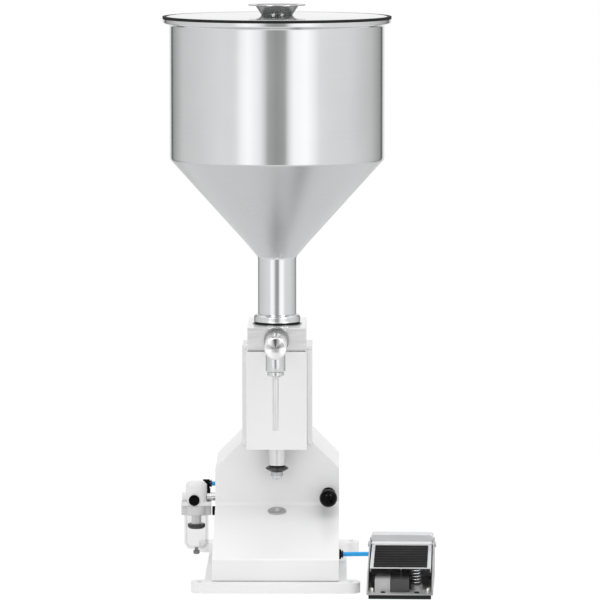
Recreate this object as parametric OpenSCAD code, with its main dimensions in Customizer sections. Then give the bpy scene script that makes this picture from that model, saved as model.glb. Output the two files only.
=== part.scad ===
/* [Hopper] */
// Outer diameter of the barrel
hopper_d = 300; // [260:1:330]
// Height of the cone's lower end above the floor
cone_z = 445; // [430:1:465]
// Height where the barrel starts
barrel_z = 582; // [560:1:600]
// Height of the shelf that carries the lid
shelf_z = 770; // [740:1:790]
// Sheet thickness
hopper_t = 1.5; // [1:0.1:2]
// Width of the shelf around the mouth
shelf_w = 9.5; // [8:0.5:12]
// Height of the lip around the lid
lip_h = 8; // [7:0.5:10]
// Outer diameter of the outlet tube
outlet_d = 54; // [50:1:56]

/* [Lid] */
// Rise of the lid above its edge
lid_rise = 8.5; // [6:0.5:14]
// Diameter of the lid's flat middle
lid_flat_d = 190; // [150:5:220]
// Diameter of the handle's flange
grip_d = 80; // [70:1:90]
// Diameter of the handle's foot
grip_foot_d = 43; // [36:1:48]
// Height of the handle
grip_h = 15; // [12:0.5:18]

/* [Neck] */
// Diameter of the ferrule on the outlet
ferrule_d = 65.5; // [62:0.5:67]
// Height of the ferrule
ferrule_h = 11.8; // [9:0.1:13]
// Thickness of the black gasket
gasket_t = 1.4; // [1:0.1:2]
// Diameter of the seat on the valve block
seat_d = 69; // [68:0.5:72]
// Thickness of the seat
seat_t = 1; // [0.8:0.1:2]

/* [Valve block] */
// Width of the block
block_w = 81; // [78:1:84]
// Distance from the hopper's axis to the block's front
block_front = 63; // [60:1:66]
// Distance from the hopper's axis to the block's back
block_rear = 82; // [80:1:86]
// Height of the block's underside
block_z = 318; // [314:1:322]
// Height of the block
block_h = 32; // [31:1:34]
// Diameter of the shuttle's bore
shuttle_d = 24; // [23:0.5:25]

/* [Spout] */
// Diameter of the knurled collar
collar_d = 35; // [33:1:37]
// Thickness of the collar
collar_l = 12; // [10:1:14]
// Diameter of the spout's body
spout_d = 30.5; // [29:0.5:31]
// Distance from the hopper's axis to the spout's face
spout_reach = 180; // [160:1:190]
// Diameter of the spout's upright leg
leg_d = 27; // [25:0.5:27]
// Height of the leg's lower end
leg_z = 302; // [300:1:306]
// Diameter of the nozzle
nozzle_d = 8; // [6:0.1:9]
// Wall of the nozzle
nozzle_t = 1; // [0.6:0.1:1.2]
// Height of the nozzle's tip
nozzle_z = 220; // [190:1:240]

/* [Pump] */
// Distance from the hopper's axis forward to the pump's axis
pump_front = 27; // [26:1:28]
// Bore of the pump
pump_bore = 40; // [36:1:42]
// Wall of the pump's barrel
pump_wall = 5; // [3:0.5:6]
// Stroke of the piston
stroke = 40; // [30:1:40]
// Bore of the air cylinder
air_bore = 50; // [46:1:50]
// Wall of the air cylinder
air_wall = 3; // [2:0.5:3.5]
// Diameter of the upper piston rod
rod_d = 12; // [10:0.5:14]
// Diameter of the rod that leaves the column
tail_d = 13.7; // [12:0.1:15]
// Running clearance of pistons and rods
fit = 0.05; // [0.03:0.01:0.08]

/* [Column] */
// Width of the rear channel
channel_w = 98; // [95:1:102]
// Depth of the rear channel
channel_d = 85; // [80:1:88]
// Sheet thickness of the column
column_t = 2; // [1.5:0.1:2.5]
// Width of the front cover
cover_w = 84; // [82:1:86]
// Distance from the hopper's axis to the cover's face
cover_front = 70; // [67:1:74]
// Height of the cover's lower edge
cover_z = 180.7; // [179:0.1:182]

/* [Adjuster] */
// Diameter of the adjusting nut
nut_d = 32; // [28:1:34]
// Height of the adjusting nut
nut_h = 9; // [7:0.5:10]
// Height of the sleeve's lower end
sleeve_z = 154; // [152:0.1:160]
// Diameter of the sleeve
sleeve_d = 24; // [21:0.5:26]

/* [Housing] */
// Width of the housing
house_w = 174; // [170:1:180]
// Distance from the hopper's axis forward to the panel
panel_front = 3; // [2:0.5:5]
// Distance from the hopper's axis to the housing's back
house_rear = 165; // [150:1:175]
// Height of the housing's top
house_top = 183; // [181:1:184]
// Size of the corner chamfers
chamfer = 37; // [25:1:38]
// Height of the crease where the ramp starts
crease_z = 94; // [88:1:98]
// Distance from the hopper's axis to the front lip
lip_front = 183; // [150:1:190]
// Height of the front lip's edge
lip_z = 45; // [40:1:52]
// Sheet thickness of the housing
sheet_t = 1.5; // [1:0.1:2]

/* [Base] */
// Width of the base over its ears
base_w = 232; // [220:1:240]
// Width of the base between its ears
waist_w = 195; // [188:1:200]
// Distance from the hopper's axis to the base's front edge
base_front = 200; // [172:1:205]
// Distance from the hopper's axis to the base's back edge
base_rear = 200; // [190:1:210]
// Depth of an ear
ear_d = 34; // [30:1:40]
// Thickness of the base
base_t = 14; // [10:0.5:16]
// Diameter of the bench holes
bench_hole_d = 7; // [6:0.5:9]
// Distance from the base's side to a bench hole
bench_side = 12; // [10:0.5:14]

/* [Hand valve] */
// Distance from the housing's side to the knob
knob_side = 15; // [14:0.5:20]
// Height of the knob
knob_z = 109; // [104:1:114]
// Diameter of the ball
ball_d = 25; // [22:0.5:28]
// Distance from the panel to the ball's middle
ball_out = 40; // [36:1:46]

/* [Filter] */
// Distance from the housing's side to the filter's axis
filter_out = 27.5; // [26:0.5:30]
// Distance of the filter behind the hopper's axis
filter_y = 25; // [22:1:28]
// Height of the bowl's lower end
bowl_z = 27.5; // [26:0.5:30]
// Diameter of the bowl
bowl_d = 34; // [32:0.5:36]
// Wall of the bowl
bowl_t = 2; // [1.5:0.1:2.5]
// Height of the filter head's dome
head_top = 123; // [121:0.5:124]
// Travel of the drain button
drain_travel = 2; // [1:0.5:2.5]

/* [Hoses] */
// Outer diameter of the blue hoses
hose_d = 6.35; // [6:0.05:6.5]
// Travel of a release ring
ring_travel = 1; // [0.5:0.1:1.2]

/* [Pedal] */
// Width of the pedal's base
pedal_w = 90; // [86:1:94]
// Length of the pedal's base
pedal_l = 177; // [170:1:184]
// Turn of the pedal in degrees
pedal_turn = 2; // [0:0.5:3]
// Width of the treadle
tread_w = 83; // [80:1:83]
// Length of the treadle
tread_l = 111; // [104:1:114]
// Slope of the treadle at rest in degrees
tread_slope = 8; // [6:0.5:9]
// Height of the treadle's hinge
hinge_z = 53.5; // [52:0.5:55]
// Width of the ribbed mat
mat_w = 73; // [68:1:75]
// Mean diameter of the pedal's spring
spring_d = 13; // [12:0.5:14]
// Wire diameter of the spring
wire_d = 1.6; // [1.4:0.1:1.8]
// Curls in the spring
curls = 5; // [4:1:6]

/* [Hidden] */
$fn = 96;
small_fn = 32;
over = 1;
gap = 0.3;
touch_gap = 0.2;
wall_cut = 4;

base_top = base_t;
wall_x = house_w / 2;
filter_x = wall_x + filter_out;
knob_x = wall_x - knob_side;
bench_x = base_w - 2 * bench_side;
block_top = block_z + block_h;
bore_z = block_z + block_h / 2;
axis_y = -pump_front;
seat_top = block_top + seat_t;
gasket_top = seat_top + gasket_t;
ferrule_top = gasket_top + ferrule_h;
mouth_r = hopper_d / 2;
rim_r = mouth_r + shelf_w;
outlet_r = outlet_d / 2;
lip_top = shelf_z + lip_h;
lid_z = shelf_z + hopper_t;

// Sizes of small pieces that stand on the driving sizes
ear_r = 15;
waist_fillet = 6;
screw_r = 2.2;
screw_head_h = 1.6;
tab_drop = 4;
tab_gap = 0.5;
slide_gap = 0.3;
tray_t = 1.5;
plate_t = 5;
port_r = 10;
inlet_r = 11;
shuttle_head = 14;
shuttle_rest = 3.5;
shuttle_rod_r = 4;
shuttle_drive = 12;
bulkhead_t = 7;
bulkhead_y = 13;
rear_wall = 6;
spout_bore_r = 8;
nozzle_inset = 15;
nozzle_nut_r = 11.2;
nozzle_nut_h = 7;
nozzle_end_r = 3.5;
piston_h = 14;
head_room = 1.5;
ring_w = 3;
ring_depth = 2.5;
skirt = 6.5;
cap_t = 10;
cap_half = 29;
cap_corner = 6;
air_piston_h = 12;
air_room = 2;
tail_z = 134.6;
collar_h = 5.8;
collar_r = 8.5;
tail_chamfer = 1;
stop_r = 6;
stop_hole_r = 4;
washer_r = 13;
washer_t = 1.6;
stop_cap_h = 2.4;
stop_tip_h = 1.4;
stop_shank = 8;
ramp_angle = atan((crease_z - lip_z) / (lip_front - panel_front));

module at_pump() translate([0, axis_y, 0]) children();
module along_y(y, x = 0, z = 0) translate([x, y, z]) rotate([-90, 0, 0]) children();
module along_x(x, y = 0, z = 0) translate([x, y, z]) rotate([0, 90, 0]) children();

// A ring between two radii, standing on z
module ring(ro, ri, h, z = 0) {
    translate([0, 0, z]) difference() {
        cylinder(r = ro, h = h);
        translate([0, 0, -over]) cylinder(r = ri, h = h + 2 * over);
    }
}

module box(x0, x1, y0, y1, z0, z1) {
    translate([x0, y0, z0]) cube([x1 - x0, y1 - y0, z1 - z0]);
}

// A rectangle with round corners, its middle at the origin
module round_rect(w, d, r) {
    square([w - 2 * r, d], center = true);
    square([w, d - 2 * r], center = true);
    for (sx = [-1, 1], sy = [-1, 1])
        translate([sx * (w / 2 - r), sy * (d / 2 - r)]) circle(r = r, $fn = small_fn * 2);
}

// A tube swept along points, square to their mean direction
function unit(v) = v / norm(v);
function direction(p, i) = unit(p[min(i + 1, len(p) - 1)] - p[max(i - 1, 0)]);
function side_of(t) = unit(cross(t, abs(t[2]) < 0.8 ? [0, 0, 1] : [0, 1, 0]));
function loop_points(p, i, r, sides) = let (t = direction(p, i), u = side_of(t), v = cross(t, u))
    [for (k = [0:sides - 1]) p[i] + r * (cos(360 * k / sides) * u + sin(360 * k / sides) * v)];
module sweep(p, r, sides = 8) {
    n = len(p);
    points = [for (i = [0:n - 1]) each loop_points(p, i, r, sides)];
    walls = [for (i = [0:n - 2], k = [0:sides - 1])
        let (a = i * sides + k, b = i * sides + (k + 1) % sides)
        each [[a, b + sides, b], [a, a + sides, b + sides]]];
    ends = [[for (k = [0:sides - 1]) k], [for (k = [sides - 1:-1:0]) (n - 1) * sides + k]];
    polyhedron(points = points, faces = concat(ends, walls));
}

// Base

bar_y = [-base_front + ear_d / 2, base_rear - ear_d / 2];
bench_y = [-base_front + ear_d / 2 - waist_fillet / 2, base_rear - ear_d / 2 + waist_fillet / 2];

module base_outline() {
    for (y = bar_y) translate([0, y]) round_rect(base_w, ear_d, ear_r);
    translate([-waist_w / 2, bar_y[0]]) square([waist_w, bar_y[1] - bar_y[0]]);
    for (sx = [-1, 1], end = [0, 1]) {
        sy = end == 0 ? 1 : -1;
        translate([sx * waist_w / 2, bar_y[end] + sy * ear_d / 2]) difference() {
            translate([min(0, sx * waist_fillet), min(0, sy * waist_fillet)]) square(waist_fillet);
            translate([sx * waist_fillet, sy * waist_fillet]) circle(r = waist_fillet, $fn = small_fn);
        }
    }
}

module base_plate() {
    color("white") difference() {
        linear_extrude(base_t) base_outline();
        for (x = [-bench_x / 2, bench_x / 2], y = bench_y)
            translate([x, y, -over]) cylinder(d = bench_hole_d, h = base_top + 2 * over);
    }
}

// Housing

hand_hole_r = 8.1;
elbow_y = 43.5;
elbow_z = 117.5;
fitting_y = -10;
fitting_z = 25;
fitting_hole_r = 5.6;
nipple_z = 101.5;
nipple_hole_r = 5;
silencer_y = 10;
silencer_z = 83.7;
silencer_hole_r = 5;
duct_w = 60;
duct_y = [8, 62];
back_t = 1.5;
back_screw_in = 6;
back_screw_up = 10;
back_screw_x = house_w / 2 - back_screw_in;
back_screw_z = [base_top + back_screw_up, house_top - chamfer - back_screw_up];
tab_screw_x = 45;
tab_screw_z = 182;
tab_y = -panel_front - tab_gap - column_t;
stop_y = -25;
stop_ramp_z = crease_z - (-stop_y - panel_front) * tan(ramp_angle);

module house_outline(inset = 0) {
    w = house_w / 2 - inset;
    top = house_top - inset;
    cut = chamfer - inset * tan(22.5);
    polygon([[-w, 0], [-w, top - cut], [-w + cut, top], [w - cut, top], [w, top - cut], [w, 0]]);
}

module house_solid(inset, low) {
    w = house_w - 2 * inset;
    shift = inset / cos(ramp_angle);
    intersection() {
        translate([0, house_rear, 0]) rotate([90, 0, 0])
            linear_extrude(house_rear + panel_front - inset) house_outline(inset);
        box(-house_w, house_w, -lip_front, house_rear, low, house_top);
    }
    translate([-w / 2, 0, 0]) rotate([90, 0, 90]) linear_extrude(w)
        polygon([[0, low], [0, crease_z - shift], [-panel_front + inset, crease_z - shift],
            [-lip_front + inset, lip_z - shift + inset * tan(ramp_angle)], [-lip_front + inset, low]]);
}

module body_shell() {
    color("white") difference() {
        house_solid(0, base_top);
        house_solid(sheet_t, base_top - over);
        box(-house_w / 2 + sheet_t, house_w / 2 - sheet_t, house_rear - over, house_rear + over,
            base_top - over, house_top - chamfer);
        along_y(-panel_front - over, knob_x, knob_z) cylinder(r = hand_hole_r, h = wall_cut);
        along_x(-house_w / 2 - over, elbow_y, elbow_z) cylinder(r = hose_d / 2 + gap, h = wall_cut);
        along_x(-house_w / 2 - over, filter_y, nipple_z) cylinder(r = nipple_hole_r, h = wall_cut);
        along_x(-house_w / 2 - over, silencer_y, silencer_z)
            cylinder(r = silencer_hole_r, h = wall_cut);
        along_x(house_w / 2 + over - wall_cut, fitting_y, fitting_z)
            cylinder(r = fitting_hole_r, h = wall_cut);
        box(-duct_w / 2, duct_w / 2, duct_y[0], duct_y[1], house_top - wall_cut, house_top + over);
        box(-cover_w / 2 - gap, cover_w / 2 + gap, -panel_front - over, axis_y + cap_half + 2 * gap,
            cover_z - gap, house_top + over);
        translate([0, stop_y, stop_ramp_z - stop_shank]) cylinder(r = stop_hole_r, h = 2 * stop_shank);
    }
}

module body_back() {
    color("white") difference() {
        translate([0, house_rear + back_t, 0]) rotate([90, 0, 0]) linear_extrude(back_t)
            intersection() {
                house_outline();
                translate([-house_w / 2, base_top]) square([house_w, house_top]);
            }
        for (x = [-1, 1], z = back_screw_z) along_y(house_rear - over, x * back_screw_x, z)
            cylinder(r = screw_r / 2, h = back_t + 2 * over, $fn = small_fn);
    }
}

// A pan-head screw whose head stands on y, its head towards the way given
module pan_screw(way) {
    rotate([way * 90, 0, 0]) {
        cylinder(r = screw_r, h = screw_head_h, $fn = small_fn);
        translate([0, 0, -back_t]) cylinder(r = screw_r / 2, h = back_t + over / 2, $fn = small_fn);
    }
}

module panel_screws() {
    color("silver") {
        for (x = [-1, 1], z = back_screw_z)
            translate([x * back_screw_x, house_rear + back_t, z]) pan_screw(-1);
        for (x = [-1, 1]) translate([x * tab_screw_x, tab_y, tab_screw_z]) pan_screw(1);
    }
}

// Column

channel_y = tab_y + channel_d;
nose_hole_r = sleeve_d / 2 + gap;
barrel_r = pump_bore / 2 + pump_wall;
cover_in = 24;

module channel_outline() {
    difference() {
        translate([-channel_w / 2, tab_y]) square([channel_w, channel_d]);
        translate([-channel_w / 2 + column_t, tab_y + column_t])
            square([channel_w - 2 * column_t, channel_d - 2 * column_t]);
        translate([-cover_w / 2 - slide_gap, tab_y - over])
            square([cover_w + 2 * slide_gap, column_t + 2 * over]);
    }
}

module column_channel() {
    color("white") difference() {
        union() {
            translate([0, 0, house_top]) linear_extrude(block_z - plate_t - house_top)
                channel_outline();
            for (sx = [-1, 1]) translate([sx * (channel_w + cover_w + 2 * slide_gap) / 4, tab_y, 0])
                translate([-(channel_w - cover_w) / 4 + slide_gap / 2, 0, house_top - tab_drop])
                    cube([(channel_w - cover_w) / 2 - slide_gap, column_t, tab_drop]);
            box(-channel_w / 2, channel_w / 2, tab_y + column_t + slide_gap, channel_y,
                block_z - plate_t, block_z);
        }
        at_pump() cylinder(r = barrel_r + slide_gap, h = block_z + over);
        for (x = [-1, 1]) along_y(tab_y - over, x * tab_screw_x, tab_screw_z)
            cylinder(r = screw_r / 2, h = column_t + 2 * over, $fn = small_fn);
    }
}

module column_cover() {
    w = cover_w / 2;
    back = cover_in - panel_front;
    color("white") difference() {
        box(-w, w, -cover_front, back, cover_z, block_z);
        box(-w + tray_t, w - tray_t, -cover_front + tray_t, back + over, cover_z + tray_t,
            block_z + over);
        box(-w - over, w + over, axis_y + cap_half + gap, back + over, cover_z - over,
            house_top + gap);
        box(-w - over, w + over, tab_y + column_t, back + over, block_z - plate_t - gap,
            block_z + over);
        at_pump() cylinder(r = nose_hole_r, h = cover_z + tray_t + over);
        along_y(-cover_front - over, 0, bore_z)
            cylinder(r = collar_d / 2 + gap, h = tray_t + 2 * over);
    }
}

// Valve block and the pump below it

module valve_block() {
    color("silver") difference() {
        box(-block_w / 2, block_w / 2, -block_front, block_rear, block_z, block_top);
        along_y(-block_front - over, 0, bore_z)
            cylinder(d = shuttle_d, h = block_front + block_rear - rear_wall + over);
        translate([0, 0, bore_z]) cylinder(r = inlet_r, h = block_h);
        at_pump() translate([0, 0, block_z - over]) cylinder(r = port_r, h = block_h / 2 + over);
    }
}

module pump_barrel() {
    color("silver") at_pump()
        ring(barrel_r, pump_bore / 2, barrel_l, block_z - barrel_l);
}

piston_top = block_z - head_room;
piston_bottom = piston_top - piston_h;
barrel_l = head_room + piston_h + stroke + skirt;
cap_top = block_z - barrel_l;
air_top = cap_top - cap_t;
air_l = air_piston_h + stroke + 2 * air_room;
air_bottom = air_top - air_l;
air_r = air_bore / 2;
air_piston_top = air_top - air_room;
seal_r = rod_d / 2 + ring_depth;
nose_seal_r = tail_d / 2 + ring_depth;

module cap_body(top, bottom) {
    translate([0, 0, bottom]) linear_extrude(top - bottom)
        round_rect(2 * cap_half, 2 * cap_half, cap_corner);
}

module air_top_cap() {
    color("gray") at_pump() difference() {
        cap_body(cap_top, air_top);
        translate([0, 0, air_top - over]) cylinder(d = rod_d + 2 * fit, h = cap_t + 2 * over);
        translate([0, 0, cap_top - ring_w]) cylinder(r = seal_r, h = ring_w + over);
    }
}

module air_barrel() {
    color("silver") at_pump() ring(air_r + air_wall, air_r, air_l, air_bottom);
}

module air_bottom_cap() {
    color("silver") at_pump() difference() {
        union() {
            cap_body(air_bottom, cover_z + tray_t);
            translate([0, 0, sleeve_z]) cylinder(d = sleeve_d, h = air_bottom - sleeve_z);
        }
        translate([0, 0, sleeve_z - over])
            cylinder(d = tail_d + 2 * fit, h = air_bottom - sleeve_z + 2 * over);
        translate([0, 0, air_bottom - ring_w]) cylinder(r = nose_seal_r, h = ring_w + over);
    }
}

module seal_rings() {
    color("dimgray") {
        at_pump() ring(seal_r, rod_d / 2 + fit, ring_w, cap_top - ring_w);
        at_pump() ring(nose_seal_r, tail_d / 2 + fit, ring_w, air_bottom - ring_w);
        along_y(bulkhead_y, 0, bore_z) ring(shuttle_d / 2, shuttle_rod_r + fit, bulkhead_t);
    }
}

piston_ring_z = [piston_bottom + ring_w, piston_top - 2 * ring_w];

module piston_rod() {
    color("silver") at_pump() difference() {
        union() {
            translate([0, 0, piston_bottom]) cylinder(d = pump_bore - 2 * fit, h = piston_h);
            translate([0, 0, air_piston_top - over])
                cylinder(d = rod_d, h = piston_bottom - air_piston_top + 2 * over);
            translate([0, 0, air_piston_top - air_piston_h])
                cylinder(d = air_bore - 2 * fit, h = air_piston_h);
            translate([0, 0, tail_z + tail_chamfer])
                cylinder(d = tail_d, h = air_piston_top - tail_z - 2 * tail_chamfer);
            translate([0, 0, tail_z])
                cylinder(r1 = tail_d / 2 - tail_chamfer, r2 = tail_d / 2, h = tail_chamfer);
        }
        for (z = piston_ring_z) ring(pump_bore, pump_bore / 2 - ring_depth, ring_w, z);
        ring(air_bore, air_r - ring_depth, ring_w, air_piston_top - air_piston_h / 2 - ring_w / 2);
    }
}

module piston_seals() {
    color("dimgray") at_pump() {
        for (z = piston_ring_z)
            ring(pump_bore / 2 - fit, pump_bore / 2 - ring_depth + fit, ring_w, z);
        ring(air_r - fit, air_r - ring_depth + fit, ring_w,
            air_piston_top - air_piston_h / 2 - ring_w / 2);
    }
}

module valve_shuttle() {
    head_y = -block_front + shuttle_rest;
    drive_y = bulkhead_y + bulkhead_t + air_room;
    color("silver") {
        along_y(head_y, 0, bore_z) cylinder(d = shuttle_d - 2 * fit, h = shuttle_head);
        along_y(head_y + over, 0, bore_z) cylinder(r = shuttle_rod_r, h = drive_y - head_y);
        along_y(drive_y, 0, bore_z) cylinder(d = shuttle_d - 2 * fit, h = shuttle_drive);
    }
}

// Adjuster on the rod

nut_top = sleeve_z - touch_gap;
nut_rim_share = 0.42;
nut_rim_h = 1.8;
nut_face_in = 2;
nut_face_r = sleeve_d / 2 - nut_face_in;
thread_gap = 0.05;

module adjuster_nut() {
    low = nut_top - nut_h;
    rim = low + nut_h * nut_rim_share;
    color("gainsboro") at_pump() rotate_extrude() polygon([
        [tail_d / 2 + thread_gap, low], [nut_face_r, low], [nut_d / 2, rim],
        [nut_d / 2, rim + nut_rim_h], [nut_face_r, nut_top], [tail_d / 2 + thread_gap, nut_top]]);
}

module stop_collar() {
    top = nut_top - nut_h - touch_gap;
    color("silver") at_pump()
        ring(collar_r, tail_d / 2 + thread_gap, collar_h, top - collar_h);
}

// The flanged stop screw stands square to the ramp
module stop_screw() {
    color("silver") translate([0, stop_y, stop_ramp_z]) rotate([ramp_angle, 0, 0]) {
        cylinder(r = washer_r, h = washer_t);
        translate([0, 0, washer_t]) cylinder(r = stop_r, h = stop_cap_h);
        translate([0, 0, washer_t + stop_cap_h])
            cylinder(r1 = stop_r / 2, r2 = stop_r / 3, h = stop_tip_h);
        translate([0, 0, -stop_shank]) cylinder(r = stop_hole_r - gap, h = stop_shank + over);
    }
}

// Spout

module spout_collar() {
    color("silver") along_y(-block_front - collar_l, 0, bore_z)
        ring(collar_d / 2, spout_bore_r, collar_l);
}

face_rise = 1;

module spout_body() {
    back = -block_front - collar_l;
    leg_y = -spout_reach + nozzle_inset;
    color("silver") difference() {
        union() {
            along_y(-spout_reach + face_rise, 0, bore_z)
                cylinder(d = spout_d, h = back + spout_reach - face_rise);
            along_y(-spout_reach, 0, bore_z)
                cylinder(r1 = spout_d / 2 - 2 * face_rise, r2 = spout_d / 2, h = face_rise);
            translate([0, leg_y, leg_z]) cylinder(d = leg_d, h = bore_z - leg_z);
        }
        along_y(leg_y, 0, bore_z) cylinder(r = spout_bore_r, h = back - leg_y + over);
        translate([0, leg_y, leg_z - over]) cylinder(r = spout_bore_r, h = bore_z - leg_z + over);
    }
}

module nozzle_nut() {
    color("silver") translate([0, -spout_reach + nozzle_inset, 0])
        ring(nozzle_nut_r, nozzle_end_r + fit, nozzle_nut_h, leg_z - nozzle_nut_h);
}

module nozzle_tube() {
    bore = nozzle_d / 2 - nozzle_t;
    shoulder = leg_z - nozzle_nut_h - touch_gap;
    color("silver") translate([0, -spout_reach + nozzle_inset, 0]) rotate_extrude() polygon([
        [bore, nozzle_z], [nozzle_d / 2, nozzle_z], [nozzle_d / 2, shoulder],
        [nozzle_end_r, shoulder], [nozzle_end_r, leg_z], [bore, leg_z]]);
}

// Hopper, neck and lid

neck_fillet = 9;
neck_step = 15;
shelf_dip = 0.5;
corner_share = 0.33;

module hopper_shell() {
    t = hopper_t;
    slope = atan((barrel_z - cone_z) / (mouth_r - outlet_r));
    blend = [for (a = [0:neck_step:90 - slope]) [outlet_r + neck_fillet * (1 - cos(a)),
        cone_z - neck_fillet * tan((90 - slope) / 2) + neck_fillet * sin(a)]];
    color("silver") rotate_extrude($fn = 2 * $fn) polygon(concat(
        [[outlet_r - t, ferrule_top], [outlet_r, ferrule_top]], blend,
        [[mouth_r, barrel_z], [mouth_r, shelf_z - t], [rim_r - t, shelf_z],
            [rim_r, shelf_z + t], [rim_r, lip_top], [rim_r - t, lip_top],
            [rim_r - t, shelf_z + t], [mouth_r - t, shelf_z + t - shelf_dip],
            [mouth_r - t, barrel_z + t * corner_share], [outlet_r - t, cone_z]]));
}

ferrule_round = 2.5;

module hopper_ferrule() {
    r = ferrule_d / 2;
    color("silver") rotate_extrude() difference() {
        union() {
            translate([outlet_r - hopper_t, gasket_top])
                square([r - outlet_r + hopper_t, ferrule_h - ferrule_round]);
            translate([outlet_r - hopper_t, gasket_top])
                square([r - outlet_r + hopper_t - ferrule_round, ferrule_h]);
            translate([r - ferrule_round, ferrule_top - ferrule_round])
                circle(r = ferrule_round, $fn = small_fn);
        }
    }
}

gasket_in = 1.2;

module ferrule_gasket() {
    color("black") ring(ferrule_d / 2 - gasket_in, outlet_r - hopper_t, gasket_t, seat_top);
}

module ferrule_seat() {
    color("silver") ring(seat_d / 2, inlet_r, seat_t, block_top);
}

seal_w = 3.2;
seal_rise = 2.2;
lid_edge_z = lid_z + gap;
seal_h = lip_top + seal_rise - lid_edge_z;
lid_r = rim_r - hopper_t - seal_w - 2 * gap;
lid_t = 1.2;

module lid_seal() {
    color("black") {
        ring(rim_r - hopper_t - gap, lid_r, seal_h, lid_edge_z);
        ring(rim_r, lid_r, seal_rise - gap, lip_top + gap);
    }
}

module lid() {
    flat_r = lid_flat_d / 2;
    rise = lid_edge_z + lid_rise;
    shoulder = lid_r - flat_r;
    curve = [for (s = [0:0.2:1]) [lid_r - shoulder * s,
        lid_edge_z + seal_h - lid_t + (lid_rise - seal_h + lid_t) * sin(90 * s)]];
    color("silver") rotate_extrude($fn = 2 * $fn) polygon(concat(
        [[0, rise], [0, rise + lid_t]],
        [for (i = [len(curve) - 1:-1:0]) curve[i] + [0, lid_t]],
        [[lid_r, lid_edge_z]], [[lid_r - lid_t, lid_edge_z]],
        [for (q = curve) [min(q[0], lid_r - lid_t), q[1]]]));
}

flange_t = 1.2;
grip_cone_share = 0.76;
grip_t = 1.5;

module lid_knob() {
    foot = lid_edge_z + lid_rise + lid_t;
    r0 = grip_foot_d / 2;
    r1 = grip_d / 2 * grip_cone_share;
    top = foot + grip_h;
    color("silver") rotate_extrude() polygon([[0, foot], [r0, foot], [r1, top - flange_t],
        [grip_d / 2, top - flange_t], [grip_d / 2, top], [r1 - grip_t, top],
        [r0 - grip_t, foot + grip_t], [0, foot + grip_t]]);
}

// Hand valve

bezel_r = 10.1;
bezel_t = 6;
knob_collar_r = 7;
knob_collar_l = 8;
valve_half = 11;
valve_depth = 40;
stem_r = 4;
bush_r = 8;
bush_out = 15;

module hand_valve_body() {
    color("dimgray") difference() {
        union() {
            box(knob_x - valve_half, knob_x + valve_half, -panel_front + sheet_t,
                -panel_front + sheet_t + valve_depth, knob_z - valve_half, knob_z + valve_half);
            along_y(-panel_front - bush_out, knob_x, knob_z)
                cylinder(r = bush_r, h = bush_out + sheet_t + over);
        }
        along_y(-panel_front - bush_out - over, knob_x, knob_z)
            cylinder(r = stem_r + fit, h = bush_out + valve_depth);
    }
}

module hand_valve_nut() {
    color("black") along_y(-panel_front - bezel_t, knob_x, knob_z)
        ring(bezel_r, bush_r + fit, bezel_t);
}

module hand_valve_knob() {
    ball_y = -panel_front - ball_out;
    color("black") {
        translate([knob_x, ball_y, knob_z]) sphere(d = ball_d, $fn = 2 * small_fn);
        along_y(ball_y + ball_d / 4, knob_x, knob_z)
            cylinder(r = knob_collar_r, h = knob_collar_l);
        along_y(ball_y, knob_x, knob_z) cylinder(r = stem_r, h = ball_out + valve_depth / 2);
    }
}

// Air filter

ring_low = 76.2;
ring_high = 90;
ring_inset = 1;
ring_seat = 4;
ring_lug_in = 4;
head_r = 15;
head_bore_r = 5;
lug_w = 42;
lug_d = 26;
lug_h = 5.5;
inlet_z = 100.5;
inlet_boss_r = 7;
inlet_hole_r = 4.3;
inlet_depth = 9;
dome_round = 4;
bowl_round = 7;
bowl_step = 22.5;
element_bore = 12;
element_r = 7;
element_wall = 2;
baffle_r = 12.4;
baffle_low = 56.5;
baffle_h = 7;
baffle_taper = 2;
plug_r = 7.7;
plug_l = 3;
plug_z = 98.3;
plug_side = 2.6;
plug_boss_r = 5.9;
drain_r = 4.6;
drain_low = 19.9;
drain_stem_r = 2.5;
drain_hole_r = 2.6;
drain_head_h = bowl_z - drain_low - drain_travel - gap;
nipple_r = 5;
nipple_bore_r = 2.5;
boss_r = 6.2;
boss_l = 7;
stem_dx = 13.75;
stem_pad = 6;
stub_r = 2.6;
stub_l = 4;

module at_filter() translate([-filter_x, filter_y, 0]) children();

module filter_head() {
    stem_dy = elbow_y - filter_y;
    color("whitesmoke") at_filter() difference() {
        union() {
            translate([0, 0, ring_high]) cylinder(r = head_r, h = head_top - dome_round - ring_high);
            translate([0, 0, head_top - dome_round])
                cylinder(r1 = head_r, r2 = head_r - dome_round, h = dome_round);
            box(-lug_w / 2, lug_w / 2, -lug_d / 2, lug_d / 2, ring_high, ring_high + lug_h);
            box(stem_dx - stem_pad, stem_dx + stem_pad, 0, stem_dy + stem_pad,
                ring_high, ring_high + lug_h);
            along_x(-lug_w / 2 + over, 0, inlet_z) cylinder(r = inlet_boss_r, h = lug_w / 2);
            along_y(-head_r, -plug_side, plug_z) cylinder(r = plug_boss_r, h = head_r);
        }
        along_x(-lug_w / 2, 0, inlet_z) cylinder(r = inlet_hole_r, h = inlet_depth + over);
        along_x(head_r - wall_cut, 0, nipple_z) cylinder(r = nipple_bore_r, h = wall_cut + over);
        translate([0, 0, ring_high - over]) cylinder(r = head_bore_r, h = element_bore);
        translate([stem_dx, stem_dy, ring_high + lug_h - stub_l])
            cylinder(r = stub_r + fit, h = stub_l + over);
    }
}

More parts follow.
